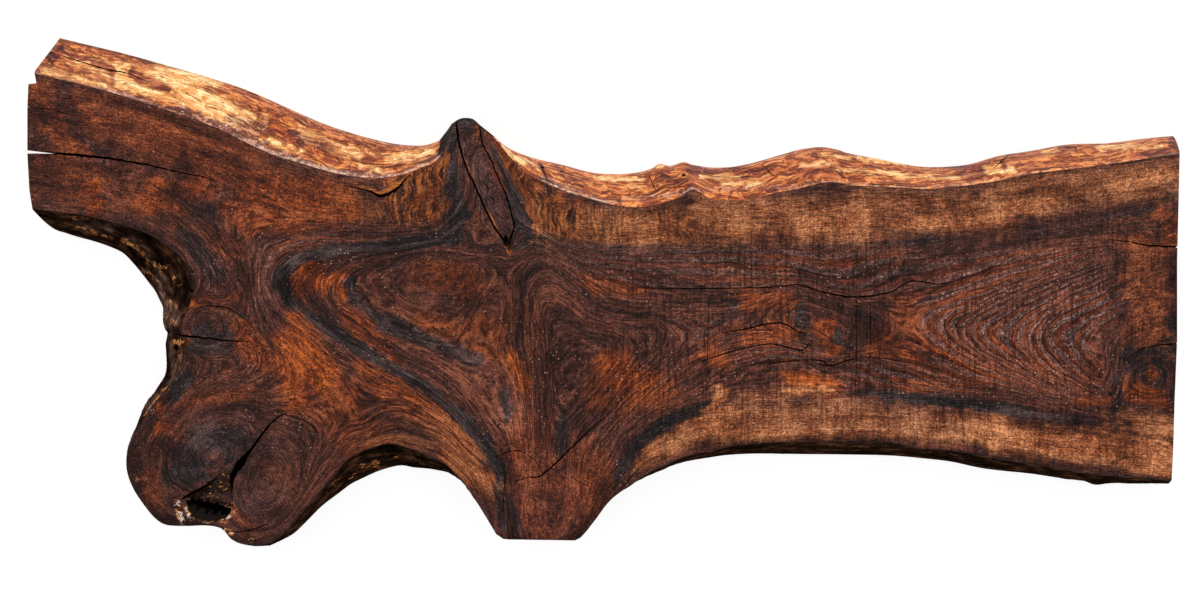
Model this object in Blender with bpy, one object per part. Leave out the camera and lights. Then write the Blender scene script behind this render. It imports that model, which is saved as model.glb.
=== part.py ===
# A live-edge walnut slab: one grown piece with two sawn faces, sawn ends, a sawn foot and waney edges.
# It lies flat on its back face. X runs along the slab, Y across it and Z up, all in metres.

import math

import bmesh
import bpy
from mathutils import Vector, noise

# Driving dimensions
LENGTH = 1.303
THICKNESS = 0.060
EYE_HEIGHT = 1.190
MM = 0.001

# The outline is drawn as it looks from straight above, from EYE_HEIGHT over the top face.
# One step of the drawing is a real length that grows with the depth below the top face.
DRAWN_LENGTH = 1153.0
DRAWN_CENTRE = (600.0, 300.0)
TOP_STEP = LENGTH / DRAWN_LENGTH

# Outline stations in drawing steps, clockwise: front edge x and y, then back edge x and y.
# A station with two numbers stands on an upright wall.
UPPER_EDGE = [
    (34, 72, 60, 38), (60, 78, 80, 43), (100, 88, 120, 52.5), (140, 100, 155, 62), (180, 113, 190, 72),
    (220, 128, 225, 82.5), (240, 138, 248, 90.5), (260, 148, 270, 100), (280, 156, 290, 109),
    (300, 162, 310, 118), (320, 168, 330, 126), (340, 173, 348, 132), (360, 176, 365, 137),
    (380, 177, 383, 141.5), (395, 175, 400, 144.5), (410, 171, 415, 145.5), (422, 166, 425, 145),
    (432, 162, 433, 143), (440, 155, 441, 139.5), (445, 143, 447, 133), (451, 128, 453, 124.5),
]
PEAK = [
    (451, 128, 453, 124.5), (458, 120.5, 460, 121), (465, 118, 466, 120), (473, 119, 474, 122),
    (480, 125, 481, 127), (490, 133, 490, 134), (499, 141, 499, 141.5),
]
BURL_EDGE = [
    (499, 141, 499, 141.5), (507, 152, 509, 148.5), (517, 162, 520, 153.5), (530, 174, 535, 158.5),
    (549, 183, 550, 162), (565, 190, 565, 165.5), (585, 196, 585, 171), (602, 201, 600, 173.5),
    (620, 205, 620, 174), (640, 206, 640, 172), (655, 204, 652, 168), (667, 200.5, 660, 163.5),
    (678, 197, 670, 166), (686, 191.5, 683, 162), (692, 188.5, 692, 164.5), (700, 191, 700, 166),
    (712, 198, 712, 167.5), (730, 199, 730, 167), (750, 198, 750, 163.5), (770, 193, 775, 156.5),
    (800, 187, 800, 149.5), (820, 182, 820, 147), (835, 181, 835, 149), (850, 184, 852, 154),
    (880, 185.5, 882, 159.5), (910, 187, 912, 165.5), (930, 188, 932, 167), (950, 186, 950, 166.5),
    (970, 184, 970, 164), (1000, 179, 998, 156), (1030, 173, 1030, 151), (1070, 168, 1068, 144.5),
    (1110, 163, 1108, 143), (1150, 157, 1145, 138.5), (1180, 152.5, 1172, 136),
]
RIGHT_END = [
    (1180, 152.5, 1172, 136), (1179, 200, 1171.5, 200), (1177.5, 260, 1170, 260), (1177.5, 340, 1170, 340),
    (1175, 400, 1168, 400), (1173.5, 450, 1166, 450), (1172, 479.5, 1166, 483),
]
LOWER_EDGE = [
    (1172, 479.5, 1166, 483), (1140, 478, 1140, 483), (1110, 476, 1105, 482.5), (1096, 475, 1094, 484.5),
    (1080, 473, 1082, 480.5), (1060, 469, 1060, 478), (1030, 464, 1030, 473.5), (1000, 460, 1000, 470.5),
    (978, 455, 978, 467.5), (950, 451, 950, 461.5), (920, 448.5, 920, 458), (890, 443, 890, 455.5),
    (850, 441.5, 850, 454.5), (800, 442.5, 800, 454), (760, 443.5, 760, 453.5), (730, 447, 730, 454.5),
    (710, 451, 710, 457), (690, 455.5, 690, 460), (670, 463, 670, 465.5), (650, 472.5, 650, 473.5),
    (630, 485, 630, 483), (610, 501, 610, 496), (595, 520.5, 597, 510), (586, 532), (580, 538.5),
]
FOOT_CUT = [(580, 538.5), (575, 541), (540, 540.5), (508, 540), (503, 539.5), (496, 534.5)]
FOOT_BAY = [
    (496, 534.5), (485, 516), (475, 500, 476, 495), (464, 483.5, 466, 483), (455, 474, 460, 478),
    (445, 464.5, 450, 472.5), (427, 456, 432, 469), (410, 449, 415, 467.5), (390, 444, 400, 465.5),
    (370, 449, 380, 470.5), (355, 455, 362, 478.5), (345, 462, 351, 484), (330, 480, 339, 493),
    (315, 499, 322, 506), (300, 515, 307, 521), (290, 526.5, 295, 532.5), (280, 536, 285, 538.5),
    (270, 543, 273, 544),
]
ROOT_END = [
    (270, 543, 273, 544), (255, 546, 263, 543), (240, 544, 254, 538), (230, 539, 246, 532.5),
    (224, 532, 242, 524), (218, 528), (205, 526), (185, 526.5), (166, 525.5), (155, 519.5), (145, 508),
    (135, 493, 150, 490), (128, 477, 141, 476), (126, 463, 136, 464), (128, 448, 134, 451),
    (134, 434, 136, 437), (141, 423, 139, 427),
]
LEFT_BAY = [
    (141, 423, 139, 427), (150, 408, 145, 414), (160, 396, 154, 397.5), (172, 380, 163, 383),
    (180, 368, 167, 371), (184, 355, 167.5, 356), (186, 344, 167, 341), (182, 334, 169, 332),
    (180, 326, 165, 325), (184, 317, 164, 315), (188, 308, 163.5, 307), (191, 299, 160, 300),
    (193, 286, 155, 290.5), (190, 272, 150, 284), (182, 260, 143, 275), (170, 249, 134, 264),
    (155, 238, 123, 253), (140, 231, 108, 246), (120, 225, 93, 241), (100, 219, 78, 237),
    (78, 214.5, 70, 234.5), (55, 212, 64, 232.5), (32, 209, 60, 231.5),
]
LEFT_END = [
    (32, 209, 60, 231.5), (29, 190), (27, 154), (27, 107), (28, 84), (36, 83), (34, 72, 60, 38),
]

# Stretches of the outline: stations, how far the relief stands off the wall, width of the worn top corner
STRETCHES = [
    (UPPER_EDGE, 2.2 * MM, 0.8 * MM),
    (PEAK, 0.8 * MM, 1.5 * MM),
    (BURL_EDGE, 2.4 * MM, 0.8 * MM),
    (RIGHT_END, 0.0, 0.8 * MM),
    (LOWER_EDGE, 1.4 * MM, 1.2 * MM),
    (FOOT_CUT, 0.0, 2.5 * MM),
    (FOOT_BAY, 2.4 * MM, 1.5 * MM),
    (ROOT_END, 1.0 * MM, 2.5 * MM),
    (LEFT_BAY, 3.2 * MM, 1.0 * MM),
    (LEFT_END, 0.0, 0.8 * MM),
]
SAWN = (RIGHT_END, FOOT_CUT, LEFT_END)

# How finely the walls are divided
LIVE_STEP = 9.0 * MM
SAWN_STEP = 40.0 * MM
WALL_LEVELS = (0.15, 0.32, 0.5, 0.68, 0.85, 1.0)
RELIEF_FADE = 18.0 * MM
RIDGE_LENGTH = 0.060
KNOB_LENGTH = 0.016
END_CUT_X = (0.590, 0.655)

# Cracks on the top face: drawing x and y, width in mm, depth in mm
LEFT_CRACK = [
    (18, 151.5, 3.4, 96), (41, 152.5, 3.0, 80), (60, 153.5, 2.8, 44), (97, 157, 2.2, 26),
    (120, 160, 1.7, 16), (150, 165.5, 1.1, 9), (178, 172, 0.5, 3),
]
UNDER_EDGE_CRACK = [
    (345, 185, 0.5, 2), (360, 189, 1.4, 6), (371, 191.5, 2.2, 9), (380, 196, 3.6, 12), (390, 193, 3.0, 11),
    (399, 186.5, 2.4, 9), (410, 174, 1.2, 6),
]
PEAK_CRACK_LEFT = [
    (455, 112, 2.6, 22), (459, 143, 2.6, 20), (466, 167, 2.4, 18), (475, 186, 2.4, 16), (485, 209, 2.4, 14),
    (495, 228, 2.4, 12), (505, 243, 2.0, 8), (513, 257, 0.6, 3),
]
PEAK_CRACK_RIGHT = [
    (478, 118, 2.0, 18), (483, 145, 1.9, 16), (490, 158, 1.8, 15), (498, 177, 1.8, 14), (506, 195, 2.0, 14),
    (511, 213, 2.0, 13), (514, 227, 2.2, 12), (510, 240, 2.4, 10), (509, 251, 0.8, 4),
]
ROOT_CRACK = [
    (288, 412, 0.5, 3), (275, 419.5, 1.2, 8), (262, 434, 1.9, 14), (253, 447, 2.6, 20), (246, 456, 5.0, 28),
    (241, 463, 8.6, 34), (235, 471, 7.4, 34), (231, 481, 5.2, 30), (230, 492, 3.6, 26), (231, 505, 2.6, 20),
]
KNOT_RIM_CRACK = [
    (182, 500, 1.4, 10), (188, 495, 2.8, 14), (196, 491, 2.6, 14), (208, 484, 2.2, 10), (220, 474, 0.6, 3),
]
BAY_KNOT_CRACK = [
    (160, 335, 2.2, 30), (172, 335, 2.0, 22), (190, 336.5, 1.8, 16), (210, 338.5, 1.5, 11), (230, 341, 1.3, 8),
    (252, 341.5, 0.5, 3),
]
FOOT_CRACK = [
    (517, 481.5, 0.5, 2), (540, 476, 1.3, 6), (555, 464, 1.5, 8), (570, 449, 1.5, 9), (588, 434, 1.3, 7),
    (606, 416, 0.5, 2),
]
RIGHT_CRACK_UPPER = [(1108, 239, 0.5, 2), (1130, 242, 1.3, 8), (1150, 245.5, 2.0, 14), (1192, 247.5, 2.4, 24)]
RIGHT_CRACK_LOWER = [(1127, 360, 0.5, 2), (1140, 350, 1.2, 6), (1160, 345, 1.4, 9), (1190, 343.5, 1.6, 12)]
CRACKS = {
    "left_crack": LEFT_CRACK,
    "under_edge_crack": UNDER_EDGE_CRACK,
    "peak_crack_left": PEAK_CRACK_LEFT,
    "peak_crack_right": PEAK_CRACK_RIGHT,
    "root_crack": ROOT_CRACK,
    "knot_rim_crack": KNOT_RIM_CRACK,
    "bay_knot_crack": BAY_KNOT_CRACK,
    "foot_crack": FOOT_CRACK,
    "right_crack_upper": RIGHT_CRACK_UPPER,
    "right_crack_lower": RIGHT_CRACK_LOWER,
}
CRACK_LEAN = {"left_crack": (0.0, 0.10)}
CUTTER_RISE = 4.0 * MM

# The hollow between the two root knots: its rim in drawing steps, then how it narrows with depth
HOLLOW_RIM = [
    (184, 500), (197, 500.5), (211, 502), (221, 505), (232, 509), (230, 514), (225, 519), (213, 523),
    (202, 521.5), (193, 519), (188, 512),
]
HOLLOW_RINGS = [(-4.0, 1.12), (0.0, 1.0), (10.0, 0.93), (24.0, 0.74), (34.0, 0.5), (40.0, 0.22)]
HOLLOW_DRIFT = 0.35

# Rounded pockets: drawing x and y, height of the middle in mm, half sizes in mm
POCKETS = [
    (175.5, 348, 44, 6.5, 4.5, 9.0),
    (505, 241, 59, 6.5, 11.0, 6.0),
    (683.5, 173, 36, 3.6, 4.2, 5.0),
    (542, 167.5, 36, 2.6, 4.0, 4.0),
    (562, 170, 29, 2.6, 3.8, 4.0),
    (252, 92, 4, 5.0, 5.5, 7.0),
    (171, 331, 20, 4.5, 4.0, 12.0),
    (225, 530, 44, 5.5, 3.5, 14.0),
]
POCKET_ROUGHNESS = 0.22

# Colour, roughness and metallic value of oiled black walnut
WALNUT = ((0.105, 0.040, 0.020, 1.0), 0.46, 0.0)


def clear_scene():
    """Remove what the opened file holds, so that the slab stands alone."""
    for old in list(bpy.data.objects):
        bpy.data.objects.remove(old, do_unlink=True)


def add_collection(name):
    """Make a collection and hang it in the scene."""
    collection = bpy.data.collections.new(name)
    bpy.context.scene.collection.children.link(collection)
    return collection


def walnut_material():
    """One Principled material for the wood."""
    colour, roughness, metallic = WALNUT
    material = bpy.data.materials.new("oiled_walnut")
    material.use_nodes = True
    shader = material.node_tree.nodes["Principled BSDF"]
    shader.inputs["Base Color"].default_value = colour
    shader.inputs["Roughness"].default_value = roughness
    shader.inputs["Metallic"].default_value = metallic
    return material


def place(x, y, height):
    """Turn a drawn point that lies at a height into metres."""
    step = TOP_STEP * (1 + (THICKNESS - height) / EYE_HEIGHT)
    return Vector(((x - DRAWN_CENTRE[0]) * step, (DRAWN_CENTRE[1] - y) * step))


def station_pair(station):
    """Front and back edge points of one outline station."""
    front = place(station[0], station[1], THICKNESS)
    if len(station) == 2:
        return front, front.copy()
    return front, place(station[2], station[3], 0.0)


def smooth_step(value, low, high):
    """Rise from 0 to 1 between low and high."""
    t = min(max((value - low) / (high - low), 0.0), 1.0)
    return t * t * (3 - 2 * t)


def curve_point(points, i, t):
    """A point of the smooth curve through points, t of the way from point i to the next."""
    last = len(points) - 1
    a, b, c, d = points[max(i - 1, 0)], points[i], points[i + 1], points[min(i + 2, last)]
    return 0.5 * (2 * b + (c - a) * t + (2 * a - 5 * b + 4 * c - d) * t * t + (3 * b - a - 3 * c + d) * t ** 3)


def stretch_samples(stations, relief, arris):
    """Walk one stretch: front point, back point, relief height and arris width at even steps."""
    pairs = [station_pair(s) for s in stations]
    fronts = [p[0] for p in pairs]
    backs = [p[1] for p in pairs]
    sawn = stations in SAWN
    rows = []
    for i in range(len(stations) - 1):
        gap = 0.5 * ((fronts[i + 1] - fronts[i]).length + (backs[i + 1] - backs[i]).length)
        parts = max(1, math.ceil(gap / (SAWN_STEP if sawn else LIVE_STEP) - 0.35))
        for k in range(parts):
            t = k / parts
            if sawn:
                front = fronts[i].lerp(fronts[i + 1], t)
                back = backs[i].lerp(backs[i + 1], t)
            else:
                front = curve_point(fronts, i, t)
                back = curve_point(backs, i, t)
            rows.append([front, back, relief, arris])
    fade_relief(rows, backs[-1])
    return rows


def fade_relief(rows, end):
    """Let the relief die away towards both ends of a stretch."""
    start = rows[0][1]
    for row in rows:
        near = min((row[1] - start).length, (row[1] - end).length)
        row[2] *= smooth_step(near, 0.0, RELIEF_FADE)


def outline_rows():
    """All samples of the closed outline, clockwise seen from above."""
    rows = []
    for stations, relief, arris in STRETCHES:
        rows.extend(stretch_samples(stations, relief, arris))
    return rows


def outward_normals(rows):
    """Unit vectors that point out of the slab, from the middle line of the wall."""
    middle = [(r[0] + r[1]) * 0.5 for r in rows]
    count = len(rows)
    normals = []
    for i in range(count):
        along = middle[(i + 1) % count] - middle[i - 1]
        normals.append(Vector((-along.y, along.x)).normalized())
    return normals


def flare(depth):
    """How far the waney wall has spread at a depth: fast under the top face, upright at the back."""
    return 0.75 * math.sin(depth * math.pi / 2) + 0.25 * depth


def wall_relief(x, y, depth):
    """Long low ridges with small knobs on them, from -1 to 1."""
    ridge = noise.noise(Vector((x / RIDGE_LENGTH, y / RIDGE_LENGTH, depth * 2.6)))
    knob = noise.noise(Vector((x / KNOB_LENGTH, y / KNOB_LENGTH, depth * 3.4 + 7.0)))
    return 1.2 * ridge + 0.7 * knob


def wall_point(row, normal, depth):
    """The wall at one sample and one depth, 0 at the top face and 1 at the back face."""
    front, back, relief, arris = row
    spread = flare(depth)
    straight = smooth_step(front.x, *END_CUT_X)
    x = front.x + (back.x - front.x) * (spread + (depth - spread) * straight)
    y = front.y + (back.y - front.y) * spread
    swell = relief * math.sin(math.pi * min(depth * 1.1, 1.0)) * wall_relief(x, y, depth)
    return Vector((x, y)) + normal * swell


def slab_mesh(name):
    """Loft the waney wall between the two sawn faces and close it with flat faces."""
    rows = outline_rows()
    normals = outward_normals(rows)
    bm = bmesh.new()
    rings = []
    top = [r[0] - n * r[3] for r, n in zip(rows, normals)]
    rings.append([bm.verts.new((p.x, p.y, THICKNESS)) for p in top])
    rings.append([bm.verts.new((r[0].x, r[0].y, THICKNESS - r[3])) for r in rows])
    for depth in WALL_LEVELS:
        points = [wall_point(r, n, depth) for r, n in zip(rows, normals)]
        rings.append([bm.verts.new((p.x, p.y, THICKNESS * (1 - depth))) for p in points])
    count = len(rows)
    for upper, lower in zip(rings, rings[1:]):
        for i in range(count):
            j = (i + 1) % count
            bm.faces.new((upper[i], upper[j], lower[j], lower[i]))
    bm.faces.new(list(reversed(rings[0])))
    bm.faces.new(rings[-1])
    bmesh.ops.triangulate(bm, faces=bm.faces[:], ngon_method="BEAUTY")
    bmesh.ops.recalc_face_normals(bm, faces=bm.faces[:])
    mesh = bpy.data.meshes.new(name)
    bm.to_mesh(mesh)
    bm.free()
    return mesh


def cutter_object(name, bm, collection):
    """Turn a closed cutter mesh into a hidden object."""
    bmesh.ops.recalc_face_normals(bm, faces=bm.faces[:])
    mesh = bpy.data.meshes.new(name)
    bm.to_mesh(mesh)
    bm.free()
    cutter = bpy.data.objects.new(name, mesh)
    cutter.hide_render = True
    cutter.display_type = "WIRE"
    collection.objects.link(cutter)
    return cutter


def loft(bm, rings):
    """Join closed rings of points and cap both ends."""
    rows = [[bm.verts.new(p) for p in ring] for ring in rings]
    count = len(rows[0])
    for a, b in zip(rows, rows[1:]):
        for i in range(count):
            j = (i + 1) % count
            bm.faces.new((a[i], a[j], b[j], b[i]))
    bm.faces.new(list(reversed(rows[0])))
    bm.faces.new(rows[-1])


def crack_cutter(name, points, collection):
    """A blade with a triangular section that follows a crack."""
    lean = Vector(CRACK_LEAN.get(name, (0.0, 0.0)))
    centres = [place(p[0], p[1], THICKNESS) for p in points]
    rings = []
    for i, (centre, point) in enumerate(zip(centres, points)):
        along = centres[min(i + 1, len(points) - 1)] - centres[max(i - 1, 0)]
        side = Vector((-along.y, along.x)).normalized()
        depth = point[3] * MM
        half = 0.5 * point[2] * MM * (1 + CUTTER_RISE / depth)
        high = THICKNESS + CUTTER_RISE
        left = centre + side * half - lean * CUTTER_RISE
        right = centre - side * half - lean * CUTTER_RISE
        tip = centre + lean * depth
        rings.append([(left.x, left.y, high), (right.x, right.y, high), (tip.x, tip.y, THICKNESS - depth)])
    bm = bmesh.new()
    loft(bm, rings)
    return cutter_object(name, bm, collection)


def hollow_cutter(collection):
    """The rotten hollow: its rim, narrowing and drifting towards the slab's middle as it goes down."""
    rim = [place(x, y, THICKNESS) for x, y in HOLLOW_RIM]
    middle = sum(rim, Vector((0.0, 0.0))) / len(rim)
    rings = []
    for depth_mm, width in HOLLOW_RINGS:
        drift = Vector((0.0, HOLLOW_DRIFT * max(depth_mm, 0.0) * MM))
        ring = [middle + (p - middle) * width + drift for p in rim]
        rings.append([(p.x, p.y, THICKNESS - depth_mm * MM) for p in ring])
    bm = bmesh.new()
    loft(bm, rings)
    return cutter_object("root_hollow", bm, collection)


def pocket_cutter(number, pocket, collection):
    """A small rough-walled pocket."""
    x, y, height_mm, half_x, half_y, half_z = pocket
    centre = place(x, y, height_mm * MM)
    bm = bmesh.new()
    bmesh.ops.create_icosphere(bm, subdivisions=2, radius=1.0)
    for vert in bm.verts:
        swell = 1 + POCKET_ROUGHNESS * noise.noise(vert.co * 1.7 + Vector((number * 5.0, 0.0, 0.0)))
        vert.co = Vector((vert.co.x * half_x, vert.co.y * half_y, vert.co.z * half_z)) * (swell * MM)
        vert.co += Vector((centre.x, centre.y, height_mm * MM))
    return cutter_object("pocket_%d" % number, bm, collection)


def make_cutters(collection):
    """Everything that is taken out of the slab."""
    cutters = [crack_cutter(name, points, collection) for name, points in CRACKS.items()]
    cutters.append(hollow_cutter(collection))
    for number, pocket in enumerate(POCKETS):
        cutters.append(pocket_cutter(number, pocket, collection))
    return cutters


def cut(body, cutters):
    """Subtract each cutter from the body."""
    for cutter in cutters:
        boolean = body.modifiers.new(cutter.name, "BOOLEAN")
        boolean.operation = "DIFFERENCE"
        boolean.solver = "EXACT"
        boolean.object = cutter


def footprint_centre(mesh):
    """Middle of the mesh's box, seen from above."""
    xs = [v.co.x for v in mesh.vertices]
    ys = [v.co.y for v in mesh.vertices]
    return Vector(((min(xs) + max(xs)) / 2, (min(ys) + max(ys)) / 2, 0.0))


def build_slab():
    """Make the slab, cut its cracks and hollows, and stand its origin under its middle."""
    parts = add_collection("walnut_wood_slab")
    tools = add_collection("cutters")
    mesh = slab_mesh("walnut_slab")
    slab = bpy.data.objects.new("walnut_slab", mesh)
    slab.data.materials.append(walnut_material())
    parts.objects.link(slab)
    cutters = make_cutters(tools)
    centre = footprint_centre(mesh)
    for thing in [slab] + cutters:
        thing.location = -centre
    cut(slab, cutters)
    return slab


clear_scene()
build_slab()
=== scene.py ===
# The looks of the live-edge walnut slab: its fine surface, its figure and finish, the floor, the light and the
# camera. Places on the slab are given in drawing steps, as it looks from straight above; place() turns them
# into metres.

import math

import bmesh
import bpy
import numpy as np
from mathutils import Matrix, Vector, bvhtree, geometry, kdtree, noise


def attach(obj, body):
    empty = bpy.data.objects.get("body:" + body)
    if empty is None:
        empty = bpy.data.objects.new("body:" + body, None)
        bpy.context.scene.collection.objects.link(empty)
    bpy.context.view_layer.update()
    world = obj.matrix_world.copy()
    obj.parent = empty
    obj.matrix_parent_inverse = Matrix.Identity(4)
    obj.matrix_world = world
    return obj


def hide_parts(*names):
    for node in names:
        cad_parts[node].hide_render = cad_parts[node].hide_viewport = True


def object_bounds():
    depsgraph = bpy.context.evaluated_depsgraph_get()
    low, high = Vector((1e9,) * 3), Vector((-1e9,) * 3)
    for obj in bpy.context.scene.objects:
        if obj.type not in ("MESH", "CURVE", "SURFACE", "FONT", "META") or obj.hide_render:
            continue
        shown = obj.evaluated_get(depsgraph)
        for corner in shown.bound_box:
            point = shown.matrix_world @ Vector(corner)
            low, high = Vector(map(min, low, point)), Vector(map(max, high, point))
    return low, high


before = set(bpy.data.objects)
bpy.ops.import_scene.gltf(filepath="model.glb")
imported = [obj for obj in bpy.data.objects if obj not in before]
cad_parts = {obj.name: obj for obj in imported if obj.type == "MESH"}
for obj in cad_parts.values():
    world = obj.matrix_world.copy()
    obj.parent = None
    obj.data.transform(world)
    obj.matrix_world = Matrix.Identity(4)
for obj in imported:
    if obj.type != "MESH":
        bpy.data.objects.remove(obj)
cad_bounds = [list(corner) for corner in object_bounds()]

# The drawing, as in the part's source
LENGTH = 1.303
THICKNESS = 0.060
EYE_HEIGHT = 1.190
MM = 0.001
DRAWN_LENGTH = 1153.0
DRAWN_CENTRE = (600.0, 300.0)
TOP_STEP = LENGTH / DRAWN_LENGTH
LEFT_MOST = (27.0, THICKNESS)
UPPER_MOST = (38.0, 0.0)

UPPER_EDGE = [
    (34, 72, 60, 38), (60, 78, 80, 43), (100, 88, 120, 52.5), (140, 100, 155, 62), (180, 113, 190, 72),
    (220, 128, 225, 82.5), (240, 138, 248, 90.5), (260, 148, 270, 100), (280, 156, 290, 109),
    (300, 162, 310, 118), (320, 168, 330, 126), (340, 173, 348, 132), (360, 176, 365, 137),
    (380, 177, 383, 141.5), (395, 175, 400, 144.5), (410, 171, 415, 145.5), (422, 166, 425, 145),
    (432, 162, 433, 143), (440, 155, 441, 139.5), (445, 143, 447, 133), (451, 128, 453, 124.5),
]
PEAK = [
    (451, 128, 453, 124.5), (458, 120.5, 460, 121), (465, 118, 466, 120), (473, 119, 474, 122),
    (480, 125, 481, 127), (490, 133, 490, 134), (499, 141, 499, 141.5),
]
BURL_EDGE = [
    (499, 141, 499, 141.5), (507, 152, 509, 148.5), (517, 162, 520, 153.5), (530, 174, 535, 158.5),
    (549, 183, 550, 162), (565, 190, 565, 165.5), (585, 196, 585, 171), (602, 201, 600, 173.5),
    (620, 205, 620, 174), (640, 206, 640, 172), (655, 204, 652, 168), (667, 200.5, 660, 163.5),
    (678, 197, 670, 166), (686, 191.5, 683, 162), (692, 188.5, 692, 164.5), (700, 191, 700, 166),
    (712, 198, 712, 167.5), (730, 199, 730, 167), (750, 198, 750, 163.5), (770, 193, 775, 156.5),
    (800, 187, 800, 149.5), (820, 182, 820, 147), (835, 181, 835, 149), (850, 184, 852, 154),
    (880, 185.5, 882, 159.5), (910, 187, 912, 165.5), (930, 188, 932, 167), (950, 186, 950, 166.5),
    (970, 184, 970, 164), (1000, 179, 998, 156), (1030, 173, 1030, 151), (1070, 168, 1068, 144.5),
    (1110, 163, 1108, 143), (1150, 157, 1145, 138.5), (1180, 152.5, 1172, 136),
]
RIGHT_END = [
    (1180, 152.5, 1172, 136), (1179, 200, 1171.5, 200), (1177.5, 260, 1170, 260), (1177.5, 340, 1170, 340),
    (1175, 400, 1168, 400), (1173.5, 450, 1166, 450), (1172, 479.5, 1166, 483),
]
LOWER_EDGE = [
    (1172, 479.5, 1166, 483), (1140, 478, 1140, 483), (1110, 476, 1105, 482.5), (1096, 475, 1094, 484.5),
    (1080, 473, 1082, 480.5), (1060, 469, 1060, 478), (1030, 464, 1030, 473.5), (1000, 460, 1000, 470.5),
    (978, 455, 978, 467.5), (950, 451, 950, 461.5), (920, 448.5, 920, 458), (890, 443, 890, 455.5),
    (850, 441.5, 850, 454.5), (800, 442.5, 800, 454), (760, 443.5, 760, 453.5), (730, 447, 730, 454.5),
    (710, 451, 710, 457), (690, 455.5, 690, 460), (670, 463, 670, 465.5), (650, 472.5, 650, 473.5),
    (630, 485, 630, 483), (610, 501, 610, 496), (595, 520.5, 597, 510), (586, 532), (580, 538.5),
]
FOOT_CUT = [(580, 538.5), (575, 541), (540, 540.5), (508, 540), (503, 539.5), (496, 534.5)]
FOOT_BAY = [
    (496, 534.5), (485, 516), (475, 500, 476, 495), (464, 483.5, 466, 483), (455, 474, 460, 478),
    (445, 464.5, 450, 472.5), (427, 456, 432, 469), (410, 449, 415, 467.5), (390, 444, 400, 465.5),
    (370, 449, 380, 470.5), (355, 455, 362, 478.5), (345, 462, 351, 484), (330, 480, 339, 493),
    (315, 499, 322, 506), (300, 515, 307, 521), (290, 526.5, 295, 532.5), (280, 536, 285, 538.5),
    (270, 543, 273, 544),
]
ROOT_END = [
    (270, 543, 273, 544), (255, 546, 263, 543), (240, 544, 254, 538), (230, 539, 246, 532.5),
    (224, 532, 242, 524), (218, 528), (205, 526), (185, 526.5), (166, 525.5), (155, 519.5), (145, 508),
    (135, 493, 150, 490), (128, 477, 141, 476), (126, 463, 136, 464), (128, 448, 134, 451),
    (134, 434, 136, 437), (141, 423, 139, 427),
]
LEFT_BAY = [
    (141, 423, 139, 427), (150, 408, 145, 414), (160, 396, 154, 397.5), (172, 380, 163, 383),
    (180, 368, 167, 371), (184, 355, 167.5, 356), (186, 344, 167, 341), (182, 334, 169, 332),
    (180, 326, 165, 325), (184, 317, 164, 315), (188, 308, 163.5, 307), (191, 299, 160, 300),
    (193, 286, 155, 290.5), (190, 272, 150, 284), (182, 260, 143, 275), (170, 249, 134, 264),
    (155, 238, 123, 253), (140, 231, 108, 246), (120, 225, 93, 241), (100, 219, 78, 237),
    (78, 214.5, 70, 234.5), (55, 212, 64, 232.5), (32, 209, 60, 231.5),
]
LEFT_END = [
    (32, 209, 60, 231.5), (29, 190), (27, 154), (27, 107), (28, 84), (36, 83), (34, 72, 60, 38),
]

# Stretches of the outline: stations, relief, width of the worn top corner, fine flutes, fine knobs, and the
# kind of surface
SAWN_WALL, CLEAN_WALL, BARK_WALL = 0.0, 1.0, 2.0
STRETCHES = [
    (UPPER_EDGE, 2.2 * MM, 1.3 * MM, 0.9 * MM, 0.2 * MM, CLEAN_WALL),
    (PEAK, 0.8 * MM, 1.5 * MM, 0.3 * MM, 0.3 * MM, CLEAN_WALL),
    (BURL_EDGE, 2.4 * MM, 1.3 * MM, 0.9 * MM, 0.3 * MM, CLEAN_WALL),
    (RIGHT_END, 0.0, 0.8 * MM, 0.0, 0.0, SAWN_WALL),
    (LOWER_EDGE, 1.4 * MM, 1.2 * MM, 0.7 * MM, 0.4 * MM, BARK_WALL),
    (FOOT_CUT, 0.0, 2.5 * MM, 0.0, 0.0, SAWN_WALL),
    (FOOT_BAY, 2.4 * MM, 1.5 * MM, 0.8 * MM, 1.0 * MM, BARK_WALL),
    (ROOT_END, 1.0 * MM, 2.5 * MM, 0.4 * MM, 0.5 * MM, BARK_WALL),
    (LEFT_BAY, 3.2 * MM, 1.0 * MM, 1.0 * MM, 1.6 * MM, BARK_WALL),
    (LEFT_END, 0.0, 0.8 * MM, 0.0, 0.0, SAWN_WALL),
]
LIVE_STEP = 2.6 * MM
SAWN_STEP = 5.0 * MM
WALL_LEVELS = [0.05, 0.11, 0.18, 0.25, 0.32, 0.39, 0.46, 0.53, 0.6, 0.67, 0.74, 0.81, 0.88, 0.95, 1.0]
RELIEF_FADE = 18.0 * MM
# Relief as sums of noise: length of a feature in metres, change from top to back, seed, share
RIDGES_AND_KNOBS = ((0.060, 2.6, 0.0, 1.2), (0.016, 3.4, 7.0, 0.7))
FINE_FLUTES = ((0.045, 13.0, 3.0, 1.0), (0.020, 30.0, 9.0, 0.6))
FINE_KNOBS = ((0.007, 8.0, 5.0, 1.0), (0.0035, 17.0, 1.0, 0.5))
END_CUT_X = (0.590, 0.655)
LEFT_BEVEL_X = (-0.600, -0.440)
SAWN_FACE, CLEAN_EDGE, BARK_EDGE, END_GRAIN, CAVITY = range(5)
WALL_MATERIAL = {SAWN_WALL: END_GRAIN, CLEAN_WALL: CLEAN_EDGE, BARK_WALL: BARK_EDGE}

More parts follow.
